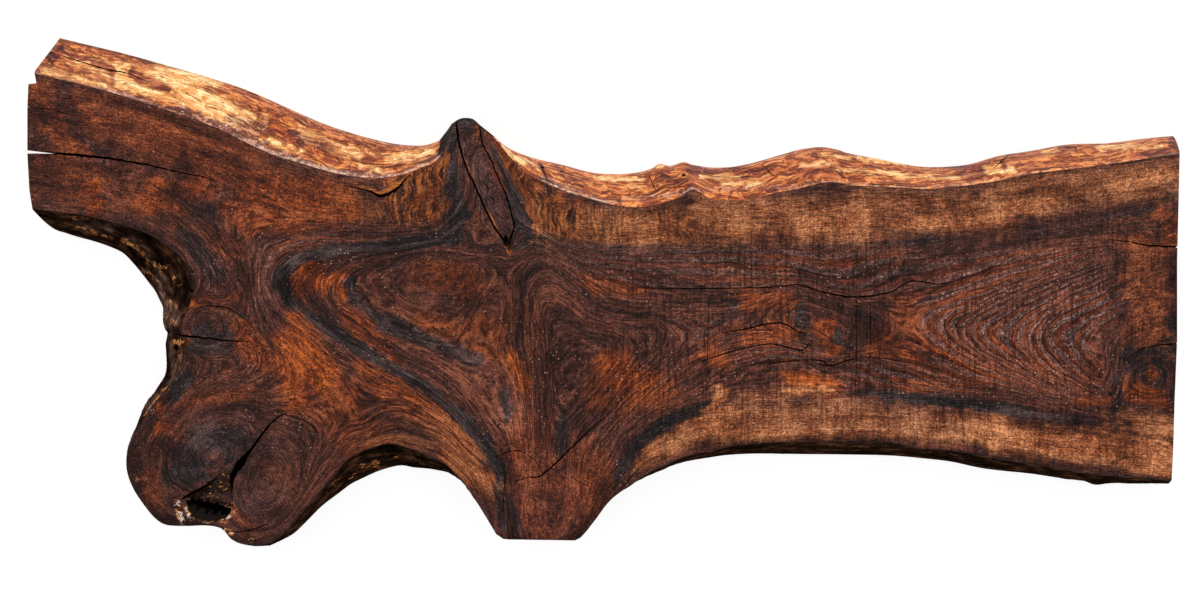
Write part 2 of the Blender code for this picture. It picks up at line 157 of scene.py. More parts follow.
# Cracks on the top face: drawing x and y, width in mm, depth in mm
CRACKS = {
    "left_crack": [
        (18, 151.5, 3.4, 96), (31, 152.0, 3.2, 72), (37, 152.3, 3.2, 44), (60, 153.6, 3.2, 34),
        (97, 157, 3.0, 28),
        (120, 160, 2.5, 20), (150, 165.5, 2.0, 12), (178, 172, 1.6, 7), (204, 177, 1.3, 5),
        (217, 182, 0.6, 3),
    ],
    "under_edge_crack": [
        (345, 185, 0.5, 2), (360, 189, 1.4, 6), (371, 191.5, 2.2, 9), (380, 196, 3.6, 12),
        (390, 193, 3.0, 11),
        (399, 186.5, 2.4, 9), (410, 174, 1.2, 6),
    ],
    "peak_crack_left": [
        (455, 112, 2.6, 22), (459, 143, 2.6, 20), (466, 167, 2.4, 18), (475, 186, 2.4, 16),
        (485, 209, 2.4, 14),
        (495, 228, 2.4, 12), (505, 243, 2.0, 8), (513, 257, 0.6, 3),
    ],
    "peak_crack_right": [
        (478, 118, 2.0, 18), (483, 145, 1.9, 16), (490, 158, 1.8, 15), (498, 177, 1.8, 14),
        (506, 195, 2.0, 14),
        (511, 213, 2.0, 13), (514, 227, 2.2, 12), (510, 240, 2.4, 10), (509, 251, 0.8, 4),
    ],
    "root_crack": [
        (288, 412, 0.8, 4), (275, 419.5, 1.7, 9), (262, 434, 2.3, 15), (253, 447, 3.0, 20),
        (246, 456, 5.0, 28),
        (241, 463, 8.6, 34), (235, 471, 7.6, 34), (231.5, 481, 6.0, 32), (230.5, 492, 4.6, 30),
        (231.5, 507, 3.8, 26),
    ],
    "knot_rim_crack": [
        (182, 500, 1.4, 10), (188, 495, 2.8, 14), (196, 491, 2.6, 14), (208, 484, 2.2, 10),
        (220, 474, 0.6, 3),
    ],
    "knot_left_crack": [
        (166, 460, 0.6, 2), (167.5, 470, 1.2, 4), (170, 479, 1.5, 5), (176, 485, 1.7, 6), (189, 492, 1.3, 5),
    ],
    "root_low_crack": [(230, 532, 1.2, 4), (242, 531.5, 1.6, 5), (252, 530, 1.5, 5), (262, 526, 1.2, 3),
                       (272, 521, 0.5, 2)],
    "bay_knot_crack": [
        (160, 335, 3.0, 30), (172, 335, 2.8, 24), (190, 336.5, 2.6, 18), (210, 338.5, 2.1, 13),
        (230, 341, 1.7, 9),
        (252, 341.5, 0.7, 4),
    ],
    "bay_arc_crack": [(196, 309, 0.4, 2), (208, 306, 1.0, 4), (224, 307, 1.3, 5), (233, 311, 1.4, 5),
                      (242, 317, 0.9, 3), (249, 324, 0.4, 2)],
    "foot_crack": [
        (515, 481.5, 0.6, 2), (528, 477.5, 1.3, 4), (540, 476, 1.8, 6), (555, 464, 2.0, 9),
        (570, 449, 2.0, 10), (588, 432, 1.6, 7), (608, 414, 0.6, 2),
    ],
    "foot_fold": [
        (494, 458, 0.6, 3), (503, 454, 1.2, 4), (512, 451, 1.3, 4), (520, 451, 1.1, 3), (528, 455, 0.9, 2),
        (537, 463, 0.8, 2), (543, 474, 0.5, 2),
    ],
    "foot_side_fold": [
        (512, 457, 0.6, 2), (507, 472, 0.9, 3), (504, 490, 1.0, 3), (503, 510, 0.8, 3), (504, 528, 0.5, 2),
    ],
    "foot_hair": [(571, 476, 0.4, 2), (579, 482, 0.8, 3), (588, 485, 0.5, 2)],
    "saw_line_a": [(709, 296, 0.4, 2), (708, 330, 0.8, 2), (707, 370, 0.8, 2), (706, 402, 0.4, 2)],
    "saw_line_b": [(857, 296, 0.4, 2), (856.5, 330, 0.7, 2), (856, 370, 0.8, 2), (855, 404, 0.4, 2)],
    "saw_line_c": [(870, 300, 0.5, 2), (870.5, 325, 1.0, 3), (871, 350, 0.5, 2)],
    "grain_line_a": [(640, 288, 0.7, 3), (690, 288.5, 1.4, 3), (740, 288, 1.5, 3), (775, 287, 1.4, 3),
                     (800, 285, 1.5, 3), (822, 292, 1.9, 4), (855, 297, 2.0, 4), (890, 292, 1.9, 4),
                     (912, 281, 1.5, 3), (940, 284, 1.4, 3), (970, 276, 1.0, 3), (1000, 265, 0.7, 3)],
    "grain_line_b": [(722, 333, 1.0, 3), (745, 329, 1.7, 4), (768, 324, 1.9, 4), (785, 324, 1.7, 4),
                     (798, 332, 1.9, 4), (808, 333, 1.0, 3)],
    "grain_line_c": [(700, 362, 0.7, 3), (730, 352, 1.4, 3), (768, 344, 1.5, 4), (790, 348, 1.9, 4),
                     (803, 350, 1.7, 4), (809, 343, 1.0, 3)],
    "grain_line_d": [(760, 364, 0.7, 3), (800, 360, 1.4, 3), (822, 361, 1.5, 4), (830, 366, 1.9, 4),
                     (846, 361, 1.5, 4), (870, 357, 1.4, 3), (910, 363, 0.8, 3)],
    "stub_pit_a": [(464, 138, 0.8, 2), (466, 142, 1.6, 3), (466, 146, 0.6, 2)],
    "stub_pit_b": [(483, 182, 0.5, 2), (487, 186, 2.0, 4), (489, 190, 0.6, 2)],
    "stub_pit_c": [(489, 197, 0.5, 2), (493, 199, 1.8, 3), (493, 205, 0.6, 2)],
    "right_crack_upper": [
        (1108, 239, 0.5, 2), (1130, 242, 1.3, 8), (1150, 245.5, 2.0, 14), (1192, 247.5, 2.4, 24),
    ],
    "right_crack_lower": [
        (1127, 360, 0.5, 2), (1140, 350, 1.2, 6), (1160, 345, 1.4, 9), (1190, 343.5, 1.6, 12),
    ],
    "left_hair_crack": [(20, 106, 0.8, 8), (40, 108, 0.7, 5), (60, 112, 0.5, 4), (88, 119, 0.3, 2)],
}
CRACK_LEAN = {"left_crack": (0.0, 0.10)}

# Splits on the sloping upper edge, in the same numbers
EDGE_CRACKS = {
    "edge_split_a": [
        (48, 51.5, 1.0, 4), (70, 58, 1.7, 6), (90, 64.5, 2.0, 7), (104, 68.5, 2.6, 8), (113, 70.5, 3.8, 9),
        (130, 74, 2.0, 7), (140, 79, 1.6, 6), (152, 83, 0.7, 3),
    ],
    "edge_split_b": [(60, 45.5, 0.6, 2), (75, 50.5, 1.0, 3), (90, 55, 0.9, 3), (104, 61, 0.5, 2)],
    "edge_split_c": [
        (236, 88, 0.6, 2), (246, 92, 1.4, 3), (253, 94, 3.4, 4), (262, 98, 1.2, 3), (280, 109, 0.6, 2),
    ],
    "edge_split_d": [(324, 137, 0.5, 2), (350, 143, 1.0, 3), (380, 149, 0.8, 3), (405, 152, 0.4, 2)],
    "edge_split_e": [(352, 160, 0.5, 2), (368, 164, 1.2, 3), (384, 165, 0.6, 2)],
    "burl_fold_a": [(649, 176, 0.6, 2), (652, 183, 1.2, 3), (656, 190, 0.8, 2)],
    "burl_fold_b": [(664, 188, 0.6, 2), (678, 187, 1.4, 3), (690, 185, 0.6, 2)],
    "burl_fold_c": [(540, 163, 0.8, 3), (544, 172, 2.0, 4), (547, 180, 0.8, 2)],
    "edge_split_f": [(698, 172, 0.6, 2), (716, 176.5, 1.2, 3), (742, 177, 0.9, 3), (762, 173, 0.5, 2)],
    "edge_split_g": [(766, 168, 0.6, 2), (770, 173, 1.6, 3), (776, 177, 0.6, 2)],
    "edge_split_h": [(994, 168, 0.8, 2), (1001, 162, 1.8, 4), (1008, 156, 0.8, 2)],
    "edge_split_i": [(868, 184, 0.6, 2), (890, 185, 1.2, 3), (915, 186.5, 0.9, 2), (932, 186, 0.4, 2)],
    "edge_split_j": [(1063, 148.5, 0.6, 2), (1070, 147, 2.2, 4), (1077, 148.5, 0.8, 2)],
}
CUTTER_RISE = 4.0 * MM
CRACK_STEP = 3.0 * MM
EDGE_CRACK_STEP = 2.2 * MM
EDGE_CUTTER_RISE = 1.5 * MM
CRACK_RAGGED = 0.35
RAGGED_RATE = 300
WANDER_RATE = 160
WANDER_WIDTH = 1.5 * MM

HOLLOW_RIM = [
    (184, 500), (197, 500.5), (211, 502), (221, 505), (232, 509), (230, 514), (225, 519), (213, 523),
    (202, 521.5), (193, 519), (188, 512),
]
HOLLOW_RINGS = [(-4.0, 1.12), (0.0, 1.0), (10.0, 0.93), (24.0, 0.74), (34.0, 0.5), (40.0, 0.22)]
HOLLOW_DRIFT = 0.35
RIM_PARTS = 4
RIM_RAGGED = 0.07
RIM_RATE = 260

POCKETS = [
    (175.5, 348, 44, 6.5, 4.5, 9.0),
    (506, 241, 59, 3.0, 7.0, 5.0),
    (683.5, 173, 36, 3.6, 4.2, 5.0),
    (542, 167.5, 36, 2.6, 4.0, 4.0),
    (562, 170, 29, 2.6, 3.8, 4.0),
    (171, 331, 20, 4.5, 4.0, 12.0),
    (192.5, 291, 57, 3.2, 2.4, 4.0),
    (225, 530, 44, 5.5, 3.5, 14.0),
]
POCKET_ROUGHNESS = 0.22
POCKET_GRAIN = 0.12

# Sunken places on the top face: the ledge between two cracks over the hollow, and the branch stub
LEDGE = [
    (189, 501), (188, 495.5), (196, 491), (208, 484), (220, 474), (228, 468), (235, 471), (231, 481),
    (230, 492), (231, 507), (221, 505), (211, 502), (197, 500.5),
]
STUB = [
    (455, 112), (459, 143), (466, 167), (475, 186), (485, 209), (495, 228), (505, 243), (510, 240),
    (514, 227), (511, 213), (506, 195), (498, 177), (490, 158), (483, 145), (478, 118),
]

# Density of the sawn faces: everywhere, and finer inside boxes of the drawing
TOP_GRID = 3.4 * MM
BACK_GRID = 9.0 * MM
FINE_BOXES = [
    ((168, 470, 262, 538), 1.6 * MM), ((440, 116, 530, 262), 2.2 * MM), ((340, 165, 438, 205), 2.2 * MM),
    ((1118, 345, 1176, 402), 2.2 * MM),
]

# Lines that the grain follows, each with its place between pith (0) and bark (1.7)
GRAIN_LINES = [
    (1.72, [(30, 75), (100, 90), (180, 115), (260, 150), (340, 175), (400, 178), (440, 158), (452, 128)]),
    (1.72, [(492, 138), (515, 162), (550, 185), (600, 203), (650, 207), (690, 190), (720, 200), (780, 192),
            (830, 182), (900, 187), (960, 185), (1020, 176), (1100, 165), (1178, 154)]),
    (1.5, [(30, 110), (120, 122), (220, 150), (320, 192), (400, 205), (445, 185), (457, 150)]),
    (1.5, [(1178, 172), (1060, 190), (960, 205), (860, 204), (760, 215), (690, 210), (600, 222), (545, 215),
           (515, 185)]),
    (1.35, [(30, 150), (120, 160), (210, 190), (300, 215), (390, 222), (445, 212), (462, 180)]),
    (1.7, [(32, 207), (100, 217), (150, 233), (180, 255), (192, 282), (188, 308), (180, 335), (180, 365),
           (160, 395), (140, 425)]),
    (1.5, [(30, 185), (110, 197), (165, 215), (205, 250), (218, 285), (215, 310)]),
    (1.35, [(150, 180), (210, 215), (240, 255), (246, 290), (250, 330)]),
    (1.2, [(440, 232), (380, 236), (300, 232), (262, 245), (256, 285), (268, 322), (300, 352), (332, 388),
           (365, 435)]),
    (1.0, [(505, 245), (440, 243), (380, 248), (330, 250), (300, 258), (283, 272), (278, 285), (285, 300),
           (300, 312), (340, 343), (380, 368), (420, 388), (450, 412), (475, 445), (498, 465), (503, 500),
           (503, 535)]),
    (0.68, [(458, 236), (420, 250), (376, 262), (352, 272), (346, 286), (358, 299), (376, 318), (402, 335),
            (428, 345), (460, 350), (488, 346), (503, 330), (508, 300), (504, 268), (496, 246)]),
    (0.62, [(462, 243), (476, 257), (482, 275), (474, 296), (455, 311), (425, 313), (398, 304), (378, 288),
            (385, 274), (412, 262)]),
    (0.57, [(434, 262), (454, 267), (457, 281), (440, 295), (417, 299), (404, 290)]),
    (0.72, [(340, 305), (370, 326), (402, 346), (450, 364), (488, 390), (510, 430), (517, 480), (521, 535)]),
    (0.6, [(516, 355), (524, 385), (528, 430), (532, 535)]),
    (1.0, [(1178, 203), (1110, 217), (1040, 226), (1000, 231), (900, 240), (830, 243), (730, 243), (640, 245),
           (590, 246), (555, 240), (525, 215), (505, 180), (487, 145)]),
    (1.0, [(1175, 432), (1100, 418), (1000, 404), (860, 398), (730, 402), (690, 410), (655, 425), (632, 445),
           (618, 470), (600, 505), (590, 530)]),
    (0.72, [(1178, 250), (1080, 245), (1000, 262), (940, 283), (900, 290), (850, 297), (800, 284), (760, 286),
            (700, 288), (640, 284), (580, 268), (545, 245)]),
    (0.72, [(1110, 412), (1000, 388), (960, 383), (900, 362), (860, 354), (830, 358), (800, 350), (770, 347),
            (720, 360), (660, 398), (620, 432), (595, 470), (580, 530)]),
    (0.62, [(1110, 250), (1080, 258), (1040, 270), (1000, 283), (960, 297), (925, 310), (900, 322),
            (915, 335), (940, 350), (970, 368), (1000, 378), (1040, 392), (1080, 402)]),
    (0.565, [(1150, 254), (1100, 256), (1060, 270), (1020, 284), (985, 298), (950, 313), (931, 327),
             (950, 342), (975, 358), (1000, 368), (1040, 385), (1090, 402)]),
    (0.455, [(1178, 258), (1130, 260), (1090, 268), (1050, 284), (1015, 300), (985, 316), (972, 330),
             (985, 350), (1010, 365), (1040, 380), (1080, 395)]),
    (0.4, [(1178, 262), (1150, 264), (1115, 270), (1080, 285), (1050, 299), (1015, 317), (1003, 333),
           (1008, 345), (1025, 362), (1050, 380), (1080, 393), (1105, 402)]),
    (0.29, [(1178, 270), (1140, 277), (1105, 290), (1075, 305), (1052, 318), (1041, 333), (1045, 350),
            (1060, 366), (1085, 381), (1105, 394)]),
    (0.235, [(1178, 285), (1140, 296), (1105, 310), (1080, 325), (1062, 340), (1075, 352), (1092, 364),
             (1108, 380)]),
    (0.17, [(1178, 307), (1150, 314), (1110, 327), (1088, 340), (1100, 352), (1113, 368)]),
    (0.58, [(740, 310), (700, 312), (640, 308), (600, 300)]),
    (0.22, [(797, 315), (804, 315)]),
    (0.25, [(838, 340), (846, 340)]),
    (0.5, [(585, 440), (635, 390), (690, 345), (730, 332), (780, 330)]),
    (0.35, [(570, 440), (605, 395), (645, 352), (655, 325)]),
    (0.2, [(612, 345), (575, 345)]),
    (0.3, [(540, 300), (545, 400), (548, 530)]),
    (1.7, [(128, 460), (140, 500), (165, 524), (215, 527), (245, 544), (280, 535), (320, 490), (355, 457),
           (390, 446), (430, 458), (460, 480), (490, 523)]),
    (1.4, [(335, 460), (360, 435), (400, 428), (440, 440), (475, 470), (495, 510)]),
    (1.7, [(605, 510), (640, 478), (690, 457), (760, 445), (850, 443), (960, 452), (1060, 468), (1170, 478)]),
    (1.4, [(640, 462), (690, 438), (760, 428), (860, 424), (960, 430), (1060, 445), (1170, 455)]),
    (0.3, [(211, 456), (219, 454)]),
    (0.3, [(262, 481), (268, 479)]),
    (0.2, [(1148, 378), (1152, 378)]),
]
# Round knots: middle, half sizes, turn in degrees, place between pith and bark at the rim
KNOTS = [
    ((215, 455), (46, 34), -35, 0.95),
    ((265, 480), (34, 46), 20, 0.95),
    ((1150, 378), (24, 17), 0, 0.62),
    ((205, 325), (26, 20), 10, 1.25),
]
KNOT_RINGS = (0.45, 0.75, 1.0)
KNOT_SITES = 12
KNOT_MIDDLE = 0.3
# How the grain field is solved: steps between sites, steps in one unit, smoothing, points worked out at once
SITE_STEP = 14.0
SITE_UNIT = 100.0
GRAIN_SMOOTHING = 0.02
POINTS_AT_ONCE = 4000
# Growth rings for each unit of the grain field
RING_RATE = 15.0

# Painted patches on the sawn face: x, y to x, y, radius and strength
CHARCOAL = [
    (1018, 464, 1046, 468, 3, 0.6), (1003, 454, 1012, 460, 3, 0.5), (1050, 474, 1080, 477, 2, 0.5),
    (1160, 209, 1110, 217, 5, 0.66), (1110, 217, 1040, 228, 7, 0.5), (1040, 230, 930, 241, 6, 0.5),
    (930, 239, 900, 243, 6, 0.66), (900, 243, 830, 247, 5, 0.6), (830, 249, 700, 251, 9, 0.58),
    (700, 249, 600, 251, 8, 0.62), (600, 249, 545, 238, 8, 0.65), (965, 262, 972, 264, 6, 0.6),
    (527, 238, 517, 205, 10, 0.9), (514, 200, 502, 170, 5, 0.9), (500, 166, 490, 142, 4, 0.7),
    (464, 120, 478, 121, 4, 1.0), (450, 138, 455, 180, 6, 0.9), (456, 180, 461, 215, 9, 0.9),
    (460, 215, 452, 238, 12, 0.85), (452, 238, 400, 243, 9, 0.85), (455, 125, 462, 124, 6, 1.0),
    (400, 245, 330, 250, 6, 0.95), (330, 250, 292, 262, 7, 1.0), (292, 262, 277, 280, 8, 1.0),
    (277, 280, 290, 300, 8, 0.95), (290, 300, 330, 330, 6, 0.8), (330, 330, 375, 358, 8, 1.0),
    (375, 358, 430, 390, 6, 1.0), (430, 390, 468, 425, 6, 1.0), (468, 425, 492, 452, 8, 1.0),
    (492, 452, 502, 478, 7, 1.0), (498, 490, 503, 530, 6, 0.7), (506, 500, 520, 530, 7, 0.6),
    (350, 282, 352, 296, 8, 0.9), (352, 298, 380, 322, 6, 0.7), (380, 322, 425, 338, 10, 0.8),
    (425, 338, 475, 362, 9, 0.7), (505, 395, 508, 418, 6, 0.8), (568, 420, 563, 444, 7, 0.8),
    (560, 415, 578, 412, 5, 0.5), (618, 475, 632, 448, 6, 1.0), (632, 448, 660, 426, 8, 1.0),
    (660, 426, 700, 408, 7, 0.9), (612, 500, 620, 470, 4, 0.6), (700, 406, 770, 400, 4, 0.3),
    (862, 393, 885, 394, 3, 0.8), (885, 395, 960, 402, 6, 1.2), (960, 402, 1030, 413, 6, 1.1),
    (1030, 414, 1100, 422, 5, 0.7), (1116, 380, 1118, 430, 6, 0.65), (1121, 458, 1121, 476, 5, 0.6),
    (1112, 283, 1120, 300, 5, 0.7), (1095, 265, 1110, 268, 6, 0.4), (1122, 362, 1136, 352, 7, 0.8),
    (1136, 352, 1172, 350, 7, 0.8), (1125, 370, 1140, 372, 5, 0.7), (1160, 362, 1166, 376, 4, 0.9),
    (1166, 376, 1156, 386, 3, 0.9), (1142, 366, 1150, 361, 3, 0.8), (1142, 368, 1144, 382, 3, 0.9),
    (905, 268, 915, 268, 8, 0.7), (728, 305, 726, 322, 8, 0.7), (798, 306, 802, 326, 6, 0.85),
    (800, 336, 804, 344, 5, 0.9), (838, 333, 846, 346, 7, 0.85), (832, 330, 840, 348, 3, 0.5),
    (180, 195, 235, 225, 12, 0.55), (188, 235, 215, 275, 12, 0.65), (195, 288, 225, 296, 5, 0.6),
    (225, 296, 248, 320, 4, 0.6), (200, 330, 230, 334, 9, 0.8), (188, 345, 225, 348, 8, 0.7),
    (172, 395, 185, 380, 9, 1.0), (168, 398, 150, 425, 5, 0.5), (205, 428, 232, 436, 9, 0.7),
    (172, 478, 200, 470, 12, 0.9), (195, 440, 240, 440, 16, 0.75), (180, 455, 200, 462, 10, 0.7),
    (292, 432, 303, 470, 5, 0.5), (275, 420, 292, 432, 3, 0.5), (303, 470, 296, 500, 4, 0.4),
    (70, 92, 92, 150, 9, 0.55), (110, 165, 112, 205, 9, 0.5), (345, 183, 400, 188, 5, 0.4),
    (1174, 190, 1168, 200, 10, 0.6), (248, 462, 256, 510, 7, 0.5), (226, 455, 236, 470, 7, 0.8),
    (236, 499, 250, 512, 7, 0.6), (1172, 320, 1173, 345, 6, 0.8), (1100, 392, 1116, 400, 6, 0.6),
]
SAPWOOD = [
    (545, 225, 700, 228, 17, 0.75), (600, 232, 615, 225, 12, 1.0), (640, 232, 675, 226, 13, 1.0),
    (700, 220, 860, 222, 22, 0.7), (810, 226, 860, 222, 10, 1.0), (720, 232, 745, 230, 8, 0.9),
    (860, 210, 1000, 215, 20, 0.62), (900, 222, 1000, 220, 9, 0.95), (1000, 210, 1050, 204, 9, 0.95),
    (1000, 195, 1180, 180, 17, 0.55), (1120, 185, 1175, 172, 9, 0.9), (640, 458, 700, 432, 10, 0.8),
    (690, 425, 725, 420, 13, 1.0), (715, 394, 715, 420, 7, 1.3), (725, 423, 860, 418, 17, 1.15),
    (785, 391, 832, 391, 4, 1.2), (840, 405, 846, 420, 6, 1.1), (740, 400, 780, 398, 6, 0.7),
    (860, 420, 1000, 428, 15, 0.95), (1000, 438, 1100, 448, 14, 1.0), (1125, 452, 1172, 458, 17, 1.0),
    (1120, 425, 1172, 430, 13, 0.6), (1085, 442, 1110, 450, 12, 1.3), (1142, 260, 1155, 335, 16, 0.2),
    (1000, 432, 1100, 436, 8, 0.8), (1122, 446, 1172, 464, 16, 1.3), (455, 465, 500, 492, 10, 0.4),
    (385, 400, 410, 412, 9, 0.3), (430, 420, 475, 452, 12, 0.35), (370, 438, 440, 445, 6, 0.25),
]
GLOW = [
    (40, 170, 110, 195, 22, 0.3), (530, 440, 590, 520, 32, 0.35), (180, 230, 240, 245, 12, 0.2),
    (90, 110, 240, 165, 26, 0.38), (492, 134, 500, 148, 4, 0.9), (500, 150, 512, 166, 4, 0.6),
    (520, 176, 534, 196, 7, 0.5), (436, 175, 430, 215, 7, 0.5), (450, 462, 485, 484, 10, 0.6),
    (400, 400, 440, 425, 12, 0.5), (545, 470, 600, 500, 16, 0.4), (1150, 370, 1156, 377, 4, 1.0),
    (498, 135, 484, 130, 4, 0.4), (503, 160, 512, 172, 4, 0.8), (300, 345, 318, 372, 20, 1.0),
    (285, 372, 300, 400, 14, 0.8), (325, 385, 350, 400, 16, 0.7), (305, 268, 345, 288, 12, 1.0),
    (296, 272, 302, 290, 8, 0.8), (298, 305, 296, 330, 6, 0.8), (255, 185, 340, 205, 20, 0.75),
    (230, 215, 300, 222, 13, 0.6), (195, 190, 150, 200, 16, 0.7), (88, 185, 100, 212, 8, 0.9),
    (45, 95, 70, 145, 15, 0.45), (160, 130, 240, 175, 18, 0.5), (415, 160, 422, 215, 8, 0.8),
    (432, 165, 436, 200, 6, 0.6), (512, 150, 530, 175, 6, 0.5), (530, 180, 538, 220, 7, 0.9),
    (552, 195, 560, 235, 7, 0.8), (575, 205, 580, 240, 7, 0.7), (380, 350, 350, 322, 14, 0.6),
    (385, 392, 412, 405, 13, 0.9), (370, 375, 400, 390, 14, 0.6), (425, 410, 470, 450, 12, 0.7),
    (430, 322, 500, 333, 11, 0.4), (474, 350, 500, 354, 5, 0.5), (420, 275, 470, 280, 16, 0.5),
    (514, 362, 524, 384, 8, 0.8), (610, 370, 640, 380, 16, 0.9), (600, 395, 660, 392, 16, 0.5),
    (750, 335, 785, 332, 10, 0.95), (745, 300, 790, 300, 10, 0.6), (825, 325, 830, 345, 9, 0.9),
    (790, 378, 830, 390, 10, 0.9), (710, 350, 722, 362, 10, 0.7), (880, 345, 960, 362, 12, 0.7),
    (900, 385, 990, 380, 8, 0.5), (970, 362, 985, 372, 8, 0.7), (1130, 390, 1160, 400, 8, 0.9),
    (1165, 210, 1170, 240, 9, 0.5), (1145, 255, 1150, 345, 20, 0.45), (940, 285, 1060, 290, 22, 0.3),
    (950, 345, 1080, 372, 20, 0.45), (528, 470, 552, 536, 22, 0.5), (592, 462, 570, 524, 20, 0.5),
    (905, 300, 925, 375, 17, 0.4), (325, 405, 385, 455, 24, 0.4), (520, 455, 535, 480, 14, 0.7),
    (545, 475, 585, 500, 18, 0.7), (560, 440, 600, 470, 18, 0.45), (530, 440, 545, 450, 10, 0.6),
    (157, 411, 162, 430, 3.5, 1.4), (168, 428, 176, 434, 6, 0.5), (150, 480, 152, 500, 10, 0.35),
    (185, 404, 245, 392, 6, 0.35), (240, 330, 262, 360, 12, 0.6), (265, 465, 280, 475, 12, 0.35),
    (232, 512, 250, 525, 8, 0.5), (590, 282, 640, 288, 9, 0.6), (830, 262, 850, 262, 8, 0.4),
    (770, 260, 790, 275, 8, 0.5), (178, 300, 190, 297, 6, 0.9), (191, 298, 198, 302, 3.5, 1.2),
    (200, 296, 235, 300, 8, 0.4), (1080, 400, 1110, 400, 6, 0.5), (1100, 425, 1110, 430, 8, 0.4),
    (1128, 330, 1150, 320, 12, 0.35), (500, 170, 507, 190, 5, 0.5),
]
SHADOW = [
    (165, 440, 205, 404, 13, 0.5), (205, 404, 262, 396, 12, 0.4), (140, 500, 188, 518, 14, 0.35),
    (250, 470, 262, 500, 18, 0.3), (850, 325, 885, 332, 16, 0.4), (262, 455, 262, 500, 24, 0.45),
    (390, 275, 490, 320, 34, 0.5), (500, 270, 540, 350, 20, 0.3), (240, 250, 250, 290, 9, 0.6),
    (285, 285, 288, 292, 10, 0.9), (308, 265, 318, 262, 8, 0.8), (530, 380, 545, 360, 14, 0.5),
    (505, 270, 540, 330, 16, 0.35), (680, 200, 694, 225, 5, 0.7), (650, 440, 700, 440, 6, 0.3),
    (700, 445, 850, 436, 5, 0.5), (760, 375, 780, 365, 6, 0.5), (860, 370, 866, 400, 5, 0.5),
    (1010, 455, 1060, 462, 5, 0.6), (1118, 400, 1120, 478, 8, 0.55), (1112, 395, 1120, 420, 8, 0.8),
    (130, 450, 145, 500, 12, 0.35), (165, 518, 215, 524, 5, 0.9), (230, 536, 262, 544, 5, 0.7),
    (580, 535, 600, 505, 4, 0.5), (500, 536, 575, 539, 3, 0.7), (1174, 240, 1175, 470, 3, 0.6),
    (60, 160, 120, 175, 7, 0.5), (120, 100, 250, 150, 5, 0.5), (250, 150, 340, 180, 5, 0.5),
    (170, 260, 192, 285, 5, 0.4), (300, 285, 290, 275, 8, 0.7), (630, 310, 640, 312, 8, 0.4),
    (600, 455, 612, 420, 6, 0.3), (700, 320, 706, 400, 3, 0.35),
]
# Pale cream wood on the upper edge; in its brightest places it is painted highlight
PALE_AND_HIGHLIGHT_WANE = [
    (120, 75, 180, 90, 13, 0.9), (180, 92, 235, 115, 12, 1.0), (300, 140, 420, 162, 6, 0.35),
    (160, 68, 215, 82, 7, 0.7), (235, 112, 262, 122, 8, 0.7), (265, 140, 300, 152, 4, 0.7),
    (235, 108, 252, 114, 5, 0.8), (70, 60, 100, 75, 7, 0.35), (45, 72, 105, 88, 6, 0.6),
    (80, 60, 130, 74, 6, 0.6), (300, 128, 330, 142, 5, 0.4), (330, 150, 360, 158, 5, 0.55),
    (360, 165, 380, 170, 4, 0.5), (385, 160, 430, 152, 4, 0.8), (500, 146, 520, 162, 2.5, 0.7),
    (520, 160, 545, 172, 3, 0.5), (596, 178, 640, 179, 2.5, 0.6), (625, 188, 660, 184, 2, 0.4),
    (610, 183, 632, 184, 1.5, 0.5), (650, 168, 662, 165, 2.5, 0.8), (705, 176, 740, 178, 2.5, 0.8),
    (720, 185, 760, 184, 3, 0.7), (800, 165, 830, 163, 3, 0.5), (840, 170, 900, 174, 2.5, 0.7),
    (900, 176, 960, 178, 2.5, 0.5), (820, 155, 850, 158, 2.5, 0.6), (985, 170, 1010, 170, 4, 0.7),
    (1040, 152, 1075, 150, 2.5, 0.6), (1100, 148, 1160, 146, 3, 0.6), (860, 158, 905, 165, 2, 0.7),
]
BROWN_WANE = [
    (700, 178, 860, 172, 10, 0.45), (940, 172, 1180, 148, 9, 0.4), (560, 175, 600, 190, 6, 0.4),
    (50, 60, 62, 48, 5, 0.8), (60, 50, 110, 68, 3, 0.9), (108, 68, 113, 71, 4, 1.0),
    (112, 72, 112, 86, 4, 0.7), (130, 72, 165, 88, 6, 0.85), (165, 88, 180, 96, 5, 0.5),
    (35, 74, 160, 104, 4, 0.4), (238, 102, 258, 112, 6, 0.7), (262, 122, 300, 142, 7, 0.75),
    (270, 112, 340, 132, 4, 0.5), (300, 136, 330, 152, 4, 0.5), (330, 138, 420, 150, 3.5, 0.55),
    (340, 160, 380, 165, 4, 0.5), (400, 158, 430, 160, 5, 0.5), (540, 165, 548, 180, 4, 0.9),
    (560, 168, 575, 182, 4, 0.6), (520, 152, 600, 172, 2.5, 0.5), (600, 195, 690, 190, 5, 0.4),
    (664, 172, 690, 186, 6, 0.6), (690, 170, 760, 170, 4, 0.7), (740, 172, 840, 168, 6, 0.6),
    (760, 190, 850, 176, 4, 0.5), (850, 160, 900, 168, 3, 0.6), (945, 166, 980, 170, 5, 0.8),
    (955, 172, 975, 175, 5, 0.6), (1010, 156, 1070, 152, 4, 0.5), (1060, 148, 1078, 150, 3, 0.8),
    (1000, 160, 1005, 168, 3, 0.8), (1172, 138, 1178, 150, 3, 0.8),
]
MAUVE_WANE = [
    (34, 74, 100, 90, 3, 0.6), (100, 91, 180, 114, 5, 0.9), (180, 112, 260, 146, 7, 1.0),
    (225, 118, 258, 134, 4, 0.6), (230, 118, 262, 128, 6, 0.6), (260, 148, 340, 174, 4, 0.8),
    (340, 172, 400, 176, 4, 0.7), (290, 134, 330, 150, 5, 0.5), (400, 174, 440, 156, 3, 0.5),
    (540, 178, 600, 200, 4, 0.6), (600, 202, 690, 192, 3, 0.6), (690, 190, 800, 186, 4, 0.5),
    (690, 168, 720, 170, 3, 0.4), (800, 182, 940, 186, 3, 0.4), (940, 186, 1000, 180, 2, 0.5),
    (760, 158, 850, 152, 4, 0.4),
]
